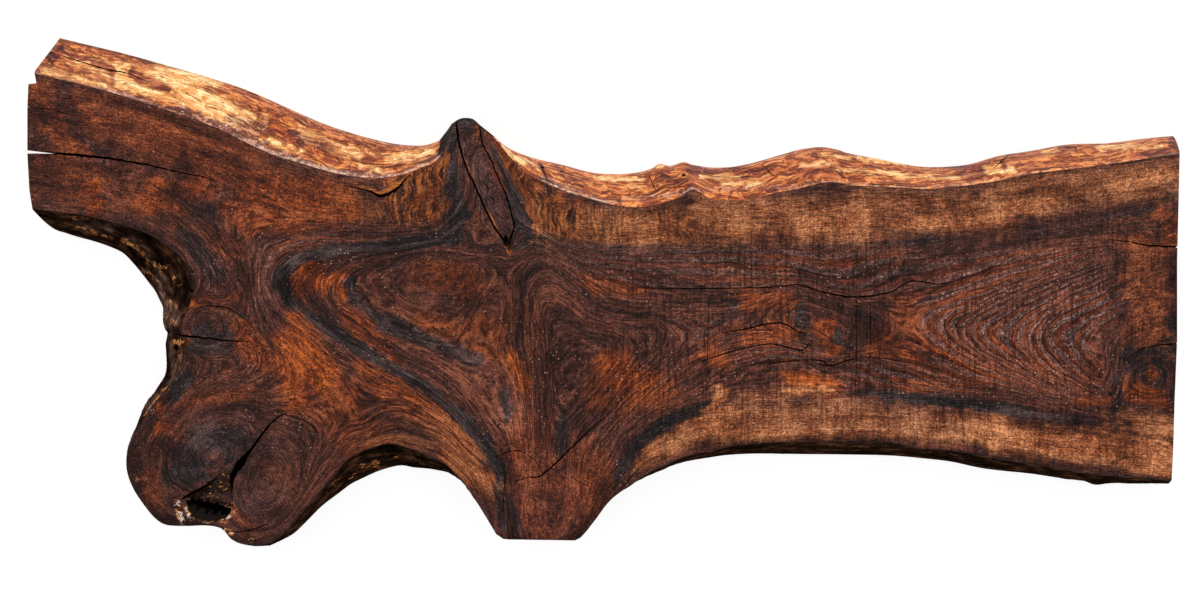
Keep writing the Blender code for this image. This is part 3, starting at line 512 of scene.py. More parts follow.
TAN_FLECKS = [
    (70, 215, 76, 219, 1.8, 0.8), (78, 227, 96, 233, 1.8, 0.8), (96, 234, 112, 238, 1.5, 0.7),
    (123, 240, 138, 248, 2.2, 0.9), (138, 248, 143, 254, 1.8, 0.7), (148, 262, 166, 268, 2.6, 0.8),
    (143, 270, 152, 275, 2.6, 0.6), (150, 275, 160, 284, 2.4, 0.5), (160, 270, 175, 278, 2.0, 0.5),
    (176, 280, 180, 286, 2.2, 0.7), (170, 300, 176, 308, 3.0, 0.5), (166, 315, 176, 325, 3.0, 0.5),
    (175, 342, 182, 342, 2.4, 1.0), (180, 355, 182, 375, 3.0, 0.5), (165, 392, 178, 376, 2.0, 0.8),
    (145, 415, 165, 390, 2.0, 0.6), (360, 468, 378, 462, 2.2, 0.8), (350, 478, 356, 474, 1.8, 0.6),
    (372, 466, 380, 468, 1.6, 0.7), (395, 458, 402, 456, 1.6, 0.6), (415, 460, 424, 464, 1.4, 0.4),
    (330, 487, 345, 474, 1.6, 0.4), (300, 520, 330, 490, 1.6, 0.2), (60, 214, 90, 218, 1.4, 0.3),
]
GREY_BARK = [
    (158, 292, 170, 325, 9, 0.8), (150, 268, 160, 282, 6, 0.5), (172, 350, 178, 374, 5, 0.5),
    (148, 412, 172, 384, 4, 0.9), (130, 240, 150, 256, 4, 0.5), (75, 222, 110, 230, 4, 0.4),
    (160, 300, 178, 308, 6, 0.8),
]
GRIT = [
    (187, 504, 191, 516, 3.5, 1.0), (177, 503, 181, 521, 3.0, 0.9), (223, 520, 231, 511, 3.5, 1.0),
    (224, 530, 231, 533, 2.4, 1.0), (131, 476, 138, 479, 1.2, 0.5), (144, 479, 146, 481, 1.2, 0.5),
    (251, 540.5, 254, 540.5, 1.5, 0.8), (198, 522, 218, 523, 1.2, 0.3),
]
# Bright torn wood at crack edges; the first three strokes, along the lower right arris, are painted highlight
TORN_AND_GLINT = [
    (985, 462.5, 1050, 471.5, 0.9, 0.6), (1050, 471.5, 1112, 479, 0.9, 0.7), (905, 452, 960, 457, 0.7, 0.35),
    (355, 185, 370, 189, 1.0, 0.8), (370, 189, 379, 193.5, 1.4, 0.9), (380, 193, 390, 189, 1.6, 0.9),
    (390, 189, 400, 183, 1.8, 1.0), (400, 183, 409, 173, 1.4, 0.7), (486, 208, 500, 237, 1.0, 0.7),
    (460, 150, 474, 182, 0.9, 0.5), (506, 246, 511, 254, 1.4, 0.9), (184, 299, 191, 303, 3.0, 0.9),
    (224, 309.5, 240, 319, 0.9, 0.8),
]
COAL_WANE = [
    (444, 150, 454, 122, 7, 1.0), (455, 116, 480, 118, 7, 1.0), (482, 122, 492, 134, 4, 0.7),
    (500, 140, 512, 148, 2, 0.4),
]
MAUVE_FACE = [
    (960, 280, 1080, 330, 40, 0.3), (540, 470, 560, 515, 34, 0.4), (520, 430, 600, 440, 26, 0.25),
    (262, 458, 262, 505, 26, 0.6), (235, 500, 245, 520, 12, 0.4), (195, 425, 240, 430, 20, 0.4),
    (400, 270, 440, 300, 16, 0.3), (464, 134, 490, 205, 11, 0.9), (492, 205, 502, 235, 7, 0.6),
    (740, 405, 980, 412, 9, 0.45), (735, 420, 960, 426, 9, 0.35), (258, 250, 266, 300, 12, 0.4),
    (190, 440, 225, 480, 26, 0.35), (600, 262, 690, 268, 10, 0.3), (1040, 290, 1100, 330, 40, 0.25),
]
# Painted highlight: pale glints along the rounded top corner of the upper edge
PAINTED_GLINT_RIM = [
    (34, 73, 100, 89, 4, 0.1), (100, 89, 260, 149, 4, 0.25), (260, 149, 340, 174, 4, 0.5),
    (340, 174, 400, 176, 4, 0.6), (400, 176, 440, 156, 4, 0.6), (500, 142, 560, 188, 4, 0.85),
    (560, 188, 604, 202, 4, 0.5), (604, 202, 690, 190, 4, 0.35), (690, 190, 860, 184, 4, 0.2),
    (860, 184, 930, 188, 4, 0.45), (930, 188, 1180, 153, 4, 0.2),
]
FIBRES = [
    (395, 190, 440, 175, 16, 1.0), (400, 215, 440, 205, 12, 0.8), (345, 205, 390, 205, 16, 0.45),
    (510, 165, 530, 195, 9, 0.8), (530, 195, 560, 222, 16, 1.0), (560, 215, 600, 230, 16, 0.9),
    (600, 225, 700, 225, 16, 0.45), (480, 132, 500, 150, 6, 0.6), (446, 150, 452, 190, 6, 0.5),
]
EARLY = [
    (955, 314, 1080, 300, 36, 1.0), (955, 334, 1060, 345, 32, 1.0), (960, 350, 1060, 375, 25, 0.9),
    (940, 275, 1090, 262, 18, 0.65), (700, 265, 900, 272, 22, 0.5), (560, 265, 700, 268, 20, 0.35),
    (690, 330, 800, 350, 20, 0.4), (860, 370, 960, 385, 12, 0.5), (262, 265, 263, 295, 6, 0.6),
    (330, 237, 280, 246, 6, 0.5), (280, 246, 264, 265, 6, 0.6),
]
RING_LINES = [
    (900, 322, 1080, 300, 40, 1.0), (930, 330, 1060, 345, 35, 1.0), (960, 350, 1080, 385, 25, 1.0),
    (940, 285, 1090, 262, 18, 0.9), (700, 272, 900, 275, 22, 0.5), (600, 275, 700, 275, 20, 0.4),
    (690, 330, 800, 330, 20, 0.5), (720, 350, 880, 350, 20, 0.6), (860, 360, 960, 375, 18, 0.8),
    (270, 405, 330, 430, 22, 1.0), (330, 400, 430, 420, 28, 0.9), (380, 370, 480, 440, 16, 0.9),
    (620, 400, 690, 350, 30, 0.6), (540, 330, 560, 440, 26, 0.6), (480, 400, 520, 450, 20, 1.0),
    (255, 300, 285, 340, 20, 0.6), (200, 230, 240, 290, 24, 0.5),
    (190, 430, 240, 470, 40, 0.35), (265, 460, 265, 510, 35, 0.4), (200, 330, 215, 310, 25, 0.4),
    (390, 270, 500, 330, 40, 0.55), (290, 300, 440, 345, 18, 0.5), (430, 200, 500, 250, 20, 0.5),
]
CALM = [
    (30, 110, 140, 180, 60, 1.0), (120, 140, 330, 190, 30, 0.9), (330, 200, 430, 200, 25, 0.7),
    (580, 225, 1000, 225, 30, 0.9), (1000, 205, 1180, 185, 30, 0.9), (700, 420, 1180, 445, 32, 0.9),
    (1130, 230, 1150, 340, 40, 1.0), (700, 250, 900, 255, 14, 0.7), (640, 455, 700, 430, 20, 0.8),
    (190, 210, 230, 250, 25, 0.5), (130, 440, 160, 500, 30, 0.8), (470, 130, 500, 230, 12, 0.8),
    (185, 440, 245, 470, 40, 0.85), (265, 450, 270, 510, 36, 0.85), (845, 325, 885, 332, 24, 0.9),
    (425, 280, 460, 285, 26, 0.8), (520, 475, 590, 515, 42, 0.9),
    (185, 320, 235, 335, 30, 0.7), (200, 390, 260, 385, 26, 0.7), (262, 335, 310, 380, 30, 0.6),
    (600, 320, 650, 350, 40, 0.3), (560, 290, 560, 330, 20, 0.4),
]
KERF_ZONES = [
    (700, 330, 1180, 330, 150, 0.9), (345, 215, 440, 215, 45, 0.6), (560, 225, 680, 225, 30, 0.8),
    (30, 150, 130, 150, 60, 0.5), (380, 430, 450, 430, 25, 0.4), (540, 300, 700, 300, 60, 0.3),
]


# Strength of a stroke across its radius: full as far as about half of it, then falling to nothing outside it
STROKE_TOP, STROKE_FALL, STROKE_POWER = 1.35, 0.85, 1.6
# Streaky ends of strokes: changes from ring to ring, changes along the grain, and the longest shift, in steps
STREAK_RATE, STREAK_LENGTH, STREAK_SHIFT = 16.0, 130.0, 16.0
JITTER_LENGTH, JITTER_SHIFT = 9.0, 3.5
# Sunken places of the top face: the drawn line where they start, the depth, and how the slope bends
SINK_RUN = 20.0
LEDGE_SINK = (474, 8.5 * MM, 1.3)
STUB_SINK = (120, 1.8 * MM, 1.0)
LUMP_HEIGHT = 3.0 * MM
LEDGE_ROUGH = 1.6 * MM
TOP_LAYER = 0.6 * MM
# Height of the rounded top corner, and the drawn line below which that corner gets painted shade, on the side
# away from the sun
ARRIS_BAND_HEIGHT = 1.5 * MM
SHADED_LIP_LINE = 206
SHARP_ANGLE = math.radians(42)

# The room and the camera
FLOOR_SIZE = 60.0
FLOOR_DROP = 0.2 * MM
FLOOR_GREY, FLOOR_GLOW = 0.6, 0.84
SKY_STRENGTH = 0.34
SUN_STRENGTH = 3.2
SUN_WIDTH = math.radians(6)
SUN_DIRECTION = (-0.12, -0.80, -0.62)
SENSOR_WIDTH = 36.0
FRAME_STEPS = 1200.0


def smooth_step(value, low, high):
    """Rise from 0 to 1 between low and high."""
    t = min(max((value - low) / (high - low), 0.0), 1.0)
    return t * t * (3 - 2 * t)


def step_at(height):
    """Length in metres of one drawing step at a height."""
    return TOP_STEP * (1 + (THICKNESS - height) / EYE_HEIGHT)


# Where the drawing's middle lies in the row frame, from the two corners that set the model's box
ORIGIN = Vector((
    cad_bounds[0][0] - (LEFT_MOST[0] - DRAWN_CENTRE[0]) * step_at(LEFT_MOST[1]),
    cad_bounds[1][1] - (DRAWN_CENTRE[1] - UPPER_MOST[0]) * step_at(UPPER_MOST[1]),
))


def place(x, y, height):
    """Turn a drawn point that lies at a height into metres."""
    step = step_at(height)
    return Vector(((x - DRAWN_CENTRE[0]) * step, (DRAWN_CENTRE[1] - y) * step))


def station_pair(station):
    """Front and back edge points of one outline station."""
    front = place(station[0], station[1], THICKNESS)
    if len(station) == 2:
        return front, front.copy()
    return front, place(station[2], station[3], 0.0)


def curve_point(points, i, t):
    """A point of the smooth curve through points, t of the way from point i to the next."""
    last = len(points) - 1
    a, b, c, d = points[max(i - 1, 0)], points[i], points[i + 1], points[min(i + 2, last)]
    return 0.5 * (2 * b + (c - a) * t + (2 * a - 5 * b + 4 * c - d) * t * t + (3 * b - a - 3 * c + d) * t ** 3)


class Row:
    """One sample of the outline."""

    def __init__(self, front, back, stretch):
        self.front = front
        self.back = back
        self.relief, self.arris, self.flutes, self.knobs, self.kind = stretch[1:]
        self.fade = 1.0
        self.along = 0.0
        self.normal = None


def stretch_rows(stretch):
    """Walk one stretch of the outline at even steps."""
    stations = stretch[0]
    pairs = [station_pair(s) for s in stations]
    fronts = [p[0] for p in pairs]
    backs = [p[1] for p in pairs]
    sawn = stretch[5] == SAWN_WALL
    rows = []
    for i in range(len(stations) - 1):
        gap = 0.5 * ((fronts[i + 1] - fronts[i]).length + (backs[i + 1] - backs[i]).length)
        parts = max(1, math.ceil(gap / (SAWN_STEP if sawn else LIVE_STEP)))
        for k in range(parts):
            t = k / parts
            if sawn:
                rows.append(Row(fronts[i].lerp(fronts[i + 1], t), backs[i].lerp(backs[i + 1], t), stretch))
            else:
                rows.append(Row(curve_point(fronts, i, t), curve_point(backs, i, t), stretch))
    for row in rows:
        near = min((row.back - rows[0].back).length, (row.back - backs[-1]).length)
        row.fade = smooth_step(near, 0.0, RELIEF_FADE)
    return rows


def outline_rows():
    """All samples of the closed outline, clockwise seen from above."""
    rows = []
    for stretch in STRETCHES:
        rows.extend(stretch_rows(stretch))
    middle = [(r.front + r.back) * 0.5 for r in rows]
    count = len(rows)
    for i, row in enumerate(rows):
        along = middle[(i + 1) % count] - middle[i - 1]
        row.normal = Vector((-along.y, along.x)).normalized()
        row.along = rows[i - 1].along + (middle[i] - middle[i - 1]).length if i else 0.0
    return rows


def flare(depth):
    """How far the waney wall has spread at a depth: fast under the top face, upright at the back."""
    return 0.75 * math.sin(depth * math.pi / 2) + 0.25 * depth


def waves(x, y, depth, parts):
    """A sum of noises over two directions and the depth."""
    return sum(share * noise.noise(Vector((x / length, y / length, depth * change + seed)))
               for length, change, seed, share in parts)


def fine_waves(along, depth, parts):
    """A sum of noises along the edge and down it."""
    return sum(share * noise.noise(Vector((along / length, depth * change, seed)))
               for length, change, seed, share in parts)


def wall_point(row, depth):
    """The wall at one sample and one depth, 0 at the top face and 1 at the back face."""
    spread = flare(depth)
    if row.kind == CLEAN_WALL or row.front.y > 0.2:
        spread += (depth - spread) * (1 - smooth_step(row.front.x, *LEFT_BEVEL_X))
    straight = smooth_step(row.front.x, *END_CUT_X)
    x = row.front.x + (row.back.x - row.front.x) * (spread + (depth - spread) * straight)
    y = row.front.y + (row.back.y - row.front.y) * spread
    fade = row.fade * math.sin(math.pi * min(depth * 1.1, 1.0))
    fine = row.flutes * fine_waves(row.along, depth, FINE_FLUTES)
    fine += row.knobs * fine_waves(row.along, depth, FINE_KNOBS)
    swell = row.relief * waves(x, y, depth, RIDGES_AND_KNOBS) + fine
    return Vector((x, y)) + row.normal * (fade * swell)


def inside_points(ring, spacing, boxes):
    """Grid points well inside a closed ring, closer together inside the boxes."""
    tree = kdtree.KDTree(len(ring))
    for i, p in enumerate(ring):
        tree.insert((p.x, p.y, 0.0), i)
    tree.balance()
    xs = [p.x for p in ring]
    ys = [p.y for p in ring]
    areas = [(spacing, min(xs), max(xs), min(ys), max(ys))]
    fine = []
    for (x0, y0, x1, y1), step in boxes:
        low = place(x0, y1, THICKNESS)
        high = place(x1, y0, THICKNESS)
        fine.append((step, low.x, high.x, low.y, high.y))
    points = []
    for number, (step, x_low, x_high, y_low, y_high) in enumerate(areas + fine):
        for row in range(int((y_high - y_low) / step)):
            y = y_low + (row + 0.5) * step
            for column in range(int((x_high - x_low) / step)):
                x = x_low + (column + 0.5 + 0.5 * (row % 2)) * step
                if number == 0 and any(b[1] <= x <= b[2] and b[3] <= y <= b[4] for b in fine):
                    continue
                if tree.find((x, y, 0.0))[2] > 0.75 * step:
                    points.append(Vector((x, y)))
    return points


def fill_face(bm, ring, height, spacing, boxes, up):
    """Close a ring of vertices with an even triangle mesh."""
    border = [Vector((v.co.x, v.co.y)) for v in ring]
    points = border + inside_points(border, spacing, boxes)
    made = geometry.delaunay_2d_cdt(points, [], [list(reversed(range(len(border))))], 1, 1e-7, True)
    verts = []
    for spot, sources in zip(made[0], made[3]):
        known = [s for s in sources if s < len(border)]
        verts.append(ring[known[0]] if known else bm.verts.new((spot.x, spot.y, height)))
    for face, inside in zip(made[2], made[5]):
        if inside:
            corners = [verts[i] for i in face]
            bm.faces.new(corners if up else list(reversed(corners)))


def slab_mesh(rows):
    """The whole slab before its cracks: walls with fine relief between two filled faces."""
    bm = bmesh.new()
    rings = []
    top = [r.front - r.normal * r.arris for r in rows]
    mid = [r.front - r.normal * (r.arris * 0.3) for r in rows]
    rings.append([bm.verts.new((p.x, p.y, THICKNESS)) for p in top])
    rings.append([bm.verts.new((p.x, p.y, THICKNESS - 0.3 * r.arris)) for p, r in zip(mid, rows)])
    rings.append([bm.verts.new((r.front.x, r.front.y, THICKNESS - r.arris)) for r in rows])
    for depth in WALL_LEVELS:
        points = [wall_point(r, depth) for r in rows]
        rings.append([bm.verts.new((p.x, p.y, THICKNESS * (1 - depth))) for p in points])
    count = len(rows)
    for level, (upper, lower) in enumerate(zip(rings, rings[1:])):
        for i in range(count):
            j = (i + 1) % count
            face = bm.faces.new((upper[i], upper[j], lower[j], lower[i]))
            arris_band = level < 2 and rows[i].kind != CLEAN_WALL
            face.material_index = SAWN_FACE if arris_band else WALL_MATERIAL[rows[i].kind]
    fill_face(bm, rings[0], THICKNESS, TOP_GRID, FINE_BOXES, True)
    fill_face(bm, rings[-1], 0.0, BACK_GRID, [], False)
    bmesh.ops.delete(bm, geom=[v for v in bm.verts if not v.link_faces], context="VERTS")
    bmesh.ops.recalc_face_normals(bm, faces=bm.faces[:])
    bmesh.ops.triangulate(bm, faces=bm.faces[:])
    return bm


def loft(bm, rings):
    """Join closed rings of points and cap both ends."""
    rows = [[bm.verts.new(p) for p in ring] for ring in rings]
    count = len(rows[0])
    for a, b in zip(rows, rows[1:]):
        for i in range(count):
            j = (i + 1) % count
            bm.faces.new((a[i], a[j], b[j], b[i]))
    bm.faces.new(list(reversed(rows[0])))
    bm.faces.new(rows[-1])


def crack_path(points, step):
    """The crack's stations with smooth in-between ones: place, width and depth in metres."""
    marks = [Vector((*place(p[0], p[1], THICKNESS), p[2] * MM, p[3] * MM)) for p in points]
    path = []
    for i in range(len(marks) - 1):
        parts = max(1, math.ceil((marks[i + 1].xy - marks[i].xy).length / step))
        path.extend(curve_point(marks, i, k / parts) for k in range(parts))
    path.append(marks[-1])
    return path


def edge_path(whole, points):
    """Where a drawn line meets the sloping edge: place, outward normal, width and depth in metres."""
    eye = Vector((0.0, 0.0, THICKNESS + EYE_HEIGHT))
    path = []
    for mark in crack_path(points, EDGE_CRACK_STEP):
        spot, normal = whole.ray_cast(eye, Vector((mark.x, mark.y, THICKNESS)) - eye)[:2]
        if spot:
            path.append((spot, normal, mark.z, mark.w))
    return path


def edge_crack_mesh(bm, whole, points):
    """A blade with a triangular section that follows a split across the sloping edge."""
    path = edge_path(whole, points)
    last = len(path) - 1
    rings = []
    for i, (spot, _, width, depth) in enumerate(path):
        near = [path[min(max(i + k, 0), last)][1] for k in range(-2, 3)]
        normal = sum(near, Vector()).normalized()
        along = path[min(i + 1, last)][0] - path[max(i - 1, 0)][0]
        side = along.cross(normal).normalized()
        wander = noise.noise(spot * WANDER_RATE + Vector((0.0, 0.0, 2.0)))
        swell = 1 + CRACK_RAGGED * noise.noise(spot * RAGGED_RATE)
        centre = spot + side * (wander * min(width, WANDER_WIDTH) * 0.6)
        half = 0.5 * max(width * swell, 0.2 * MM) * (1 + EDGE_CUTTER_RISE / depth)
        high = centre + normal * EDGE_CUTTER_RISE
        rings.append([tuple(high + side * half), tuple(high - side * half), tuple(centre - normal * depth)])
    loft(bm, rings)


def crack_mesh(bm, name, points):
    """A blade with a triangular section and a ragged line that follows a crack."""
    lean = Vector(CRACK_LEAN.get(name, (0.0, 0.0)))
    path = crack_path(points, CRACK_STEP)
    rings = []
    for i, mark in enumerate(path):
        along = path[min(i + 1, len(path) - 1)].xy - path[max(i - 1, 0)].xy
        side = Vector((-along.y, along.x)).normalized()
        wander = noise.noise(Vector((mark.x * WANDER_RATE, mark.y * WANDER_RATE, 2.0)))
        swell = 1 + CRACK_RAGGED * noise.noise(Vector((mark.x * RAGGED_RATE, mark.y * RAGGED_RATE, 8.0)))
        width = max(mark.z * swell, 0.15 * MM)
        depth = max(mark.w, 1.0 * MM)
        centre = mark.xy + side * (wander * min(mark.z, WANDER_WIDTH) * 0.5)
        half = 0.5 * width * (1 + CUTTER_RISE / depth)
        high = THICKNESS + CUTTER_RISE
        left = centre + side * half - lean * CUTTER_RISE
        right = centre - side * half - lean * CUTTER_RISE
        tip = centre + lean * depth
        rings.append([(left.x, left.y, high), (right.x, right.y, high), (tip.x, tip.y, THICKNESS - depth)])
    loft(bm, rings)


def hollow_mesh(bm):
    """The rotten hollow: its rim, narrowing and drifting towards the slab's middle as it goes down."""
    rim = [place(x, y, THICKNESS) for x, y in HOLLOW_RIM]
    middle = sum(rim, Vector((0.0, 0.0))) / len(rim)
    closed = rim + rim[:1]
    fine = []
    for i in range(len(rim)):
        for k in range(RIM_PARTS):
            p = closed[i].lerp(closed[i + 1], k / RIM_PARTS)
            push = 1 + RIM_RAGGED * noise.noise(Vector((p.x * RIM_RATE, p.y * RIM_RATE, 4.0)))
            fine.append(middle + (p - middle) * push)
    rings = []
    for depth_mm, width in HOLLOW_RINGS:
        drift = Vector((0.0, HOLLOW_DRIFT * max(depth_mm, 0.0) * MM))
        ring = [middle + (p - middle) * width + drift for p in fine]
        rings.append([(p.x, p.y, THICKNESS - depth_mm * MM) for p in ring])
    loft(bm, rings)


def pocket_mesh(bm, number, pocket):
    """A small rough-walled pocket."""
    x, y, height_mm, half_x, half_y, half_z = pocket
    centre = place(x, y, height_mm * MM)
    made = bmesh.ops.create_icosphere(bm, subdivisions=3, radius=1.0)
    for vert in made["verts"]:
        swell = 1 + POCKET_ROUGHNESS * noise.noise(vert.co * 1.7 + Vector((number * 5.0, 0.0, 0.0)))
        swell += POCKET_GRAIN * noise.noise(vert.co * 5.0)
        vert.co = Vector((vert.co.x * half_x, vert.co.y * half_y, vert.co.z * half_z)) * (swell * MM)
        vert.co += Vector((centre.x, centre.y, height_mm * MM))


def object_from(bm, name):
    """Turn a bmesh into a linked object that sits at the drawing's middle."""
    mesh = bpy.data.meshes.new(name)
    bm.to_mesh(mesh)
    bm.free()
    made = bpy.data.objects.new(name, mesh)
    bpy.context.scene.collection.objects.link(made)
    return made


def subtract(body, name, fill):
    """Cut one closed shape out of the body, and give back the cutter, which apply_cuts drops later."""
    bm = bmesh.new()
    fill(bm)
    bmesh.ops.recalc_face_normals(bm, faces=bm.faces[:])
    for face in bm.faces:
        face.material_index = CAVITY
    cutter = object_from(bm, name)
    for material in body.data.materials:
        cutter.data.materials.append(material)
    boolean = body.modifiers.new(name, "BOOLEAN")
    boolean.operation = "DIFFERENCE"
    boolean.solver = "MANIFOLD"
    boolean.object = cutter
    return cutter


def apply_cuts(body, cutters):
    """Keep the cut mesh and remove the cutters."""
    deps = bpy.context.evaluated_depsgraph_get()
    mesh = bpy.data.meshes.new_from_object(body.evaluated_get(deps))
    body.modifiers.clear()
    body.data = mesh
    for cutter in cutters:
        bpy.data.objects.remove(cutter, do_unlink=True)


def cut_slab(body, whole):
    """Take every crack, pocket and hollow out of the slab."""
    cutters = []
    for name, points in EDGE_CRACKS.items():
        cutters.append(subtract(body, name, lambda bm: edge_crack_mesh(bm, whole, points)))
    for name, points in CRACKS.items():
        cutters.append(subtract(body, name, lambda bm: crack_mesh(bm, name, points)))
    cutters.append(subtract(body, "root_hollow", hollow_mesh))
    for number, pocket in enumerate(POCKETS):
        cutters.append(subtract(body, "pocket_%d" % number, lambda bm: pocket_mesh(bm, number, pocket)))
    apply_cuts(body, cutters)


def grain_sites():
    """Places and values that hold the grain field."""
    sites = []
    values = []
    for value, line in GRAIN_LINES:
        for (x0, y0), (x1, y1) in zip(line, line[1:]):
            parts = max(1, round(math.hypot(x1 - x0, y1 - y0) / SITE_STEP))
            for k in range(parts):
                sites.append((x0 + (x1 - x0) * k / parts, y0 + (y1 - y0) * k / parts))
                values.append(value)
        sites.append(line[-1])
        values.append(value)
    for (cx, cy), (rx, ry), turn, value in KNOTS:
        for scale in KNOT_RINGS:
            for k in range(KNOT_SITES):
                angle = math.tau * k / KNOT_SITES
                dx, dy = rx * scale * math.cos(angle), ry * scale * math.sin(angle)
                c, s = math.cos(math.radians(turn)), math.sin(math.radians(turn))
                sites.append((cx + dx * c - dy * s, cy + dx * s + dy * c))
                values.append(KNOT_MIDDLE + (value - KNOT_MIDDLE) * scale)
    return np.array(sites) / SITE_UNIT, np.array(values)


def plate(square):
    """Thin plate kernel of squared distance."""
    return 0.5 * square * np.log(np.maximum(square, 1e-9))


def grain_field(points):
    """Value between pith and bark at drawn points, and its slope, from the grain lines."""
    sites, values = grain_sites()
    count = len(sites)
    gaps = ((sites[:, None, :] - sites[None, :, :]) ** 2).sum(-1)
    system = np.zeros((count + 3, count + 3))
    system[:count, :count] = plate(gaps) + GRAIN_SMOOTHING * np.eye(count)
    system[:count, count] = 1
    system[:count, count + 1:] = sites
    system[count:, :count] = system[:count, count:].T
    weights = np.linalg.solve(system, np.concatenate([values, np.zeros(3)]))
    query = points / SITE_UNIT
    value = np.empty(len(query))
    slope = np.empty((len(query), 2))
    for start in range(0, len(query), POINTS_AT_ONCE):
        batch = slice(start, start + POINTS_AT_ONCE)
        part = query[batch]
        delta = part[:, None, :] - sites[None, :, :]
        square = np.maximum((delta ** 2).sum(-1), 1e-9)
        value[batch] = plate(square) @ weights[:count] + weights[count] + part @ weights[count + 1:]
        pull = (np.log(square) + 1.0) * weights[:count]
        slope[batch] = (pull[:, :, None] * delta).sum(1) + weights[count + 1:]
    return value, slope


def paint(points, strokes):
    """Strength of soft strokes at drawn points."""
    mask = np.zeros(len(points))
    for x0, y0, x1, y1, radius, strength in strokes:
        start = np.array((x0, y0), float)
        run = np.array((x1 - x0, y1 - y0), float)
        length = max(float(run @ run), 1e-6)
        t = np.clip(((points - start) @ run) / length, 0, 1)
        away = np.linalg.norm(points - start - t[:, None] * run, axis=1) / radius
        mask = np.maximum(mask, strength * np.clip(STROKE_TOP - STROKE_FALL * away ** STROKE_POWER, 0, 1))
    return mask


def noise_values(points, scale, seed):
    """Smooth noise at drawn points, one feature about scale steps wide."""
    return np.array([noise.noise(Vector((x / scale, y / scale, seed))) for x, y in points])


def drawn(points):
    """Drawing coordinates of points of the mesh."""
    step = TOP_STEP * (1 + (THICKNESS - points[:, 2]) / EYE_HEIGHT)
    return np.stack([DRAWN_CENTRE[0] + points[:, 0] / step, DRAWN_CENTRE[1] - points[:, 1] / step], axis=1)


def set_attribute(mesh, name, values):
    """Store one number for each vertex."""
    layer = mesh.attributes.new(name, "FLOAT", "POINT")
    layer.data.foreach_set("value", np.asarray(values, dtype=np.float32))


def vertex_array(mesh):
    """Vertex places as an array."""
    flat = np.empty(len(mesh.vertices) * 3, dtype=np.float32)
    mesh.vertices.foreach_get("co", flat)
    return flat.reshape(-1, 3).astype(float)


def streaked(points, value, slope):
    """Shift points along the grain, from ring to ring differently, so that patches get streaky ends."""
    length = np.maximum(np.linalg.norm(slope, axis=1), 1e-6)
    along = np.stack([-slope[:, 1], slope[:, 0]], axis=1) / length[:, None]
    slide = np.array([noise.noise(Vector((v * STREAK_RATE, x / STREAK_LENGTH, y / STREAK_LENGTH)))
                      for v, (x, y) in zip(value, points)])
    jitter = np.stack([noise_values(points, JITTER_LENGTH, seed) for seed in (11.0, 23.0)], axis=1)
    return points + along * (slide * STREAK_SHIFT)[:, None] + jitter * JITTER_SHIFT


def edge_places(mesh_points, rows):
    """Distance along the outline of the nearest wall sample."""
    tree = kdtree.KDTree(len(rows) * 3)
    for i, row in enumerate(rows):
        for level, depth in enumerate((0.0, 0.5, 1.0)):
            p = wall_point(row, depth) if depth else row.front
            tree.insert((p.x, p.y, THICKNESS * (1 - depth)), i)
    tree.balance()
    return np.array([rows[tree.find(p)[1]].along for p in mesh_points])


def inside(points, ring):
    """Which drawn points lie inside a closed ring."""
    x, y = points[:, 0], points[:, 1]
    result = np.zeros(len(points), bool)
    for (x0, y0), (x1, y1) in zip(ring, ring[1:] + ring[:1]):
        crosses = (y0 > y) != (y1 > y)
        result ^= crosses & (x < (x1 - x0) * (y - y0) / (y1 - y0 if y1 != y0 else 1.0) + x0)
    return result


def sunk(points, ring, sink):
    """How far a ring of the top face sinks at drawn points."""
    start, depth, bend = sink
    return inside(points, ring) * np.clip((points[:, 1] - start) / SINK_RUN, 0, 1) ** bend * depth


def sink_top(mesh, places, points, grit):
    """Lower the ledge over the hollow and the branch stub, and make the crumbly wood lumpy."""
    ledge = sunk(points, LEDGE, LEDGE_SINK)
    lumps = np.clip(noise_values(points, 3.2, 51.0) + 0.4, 0, 1) * grit * LUMP_HEIGHT
    rough = (noise_values(points, 5.0, 57.0) * 0.5 + 0.5) * LEDGE_ROUGH * (ledge > 0)
    top = places[:, 2] > THICKNESS - TOP_LAYER
    places[:, 2] -= np.where(top, ledge + sunk(points, STUB, STUB_SINK) + lumps + rough, 0.0)
    mesh.vertices.foreach_set("co", places.astype(np.float32).ravel())


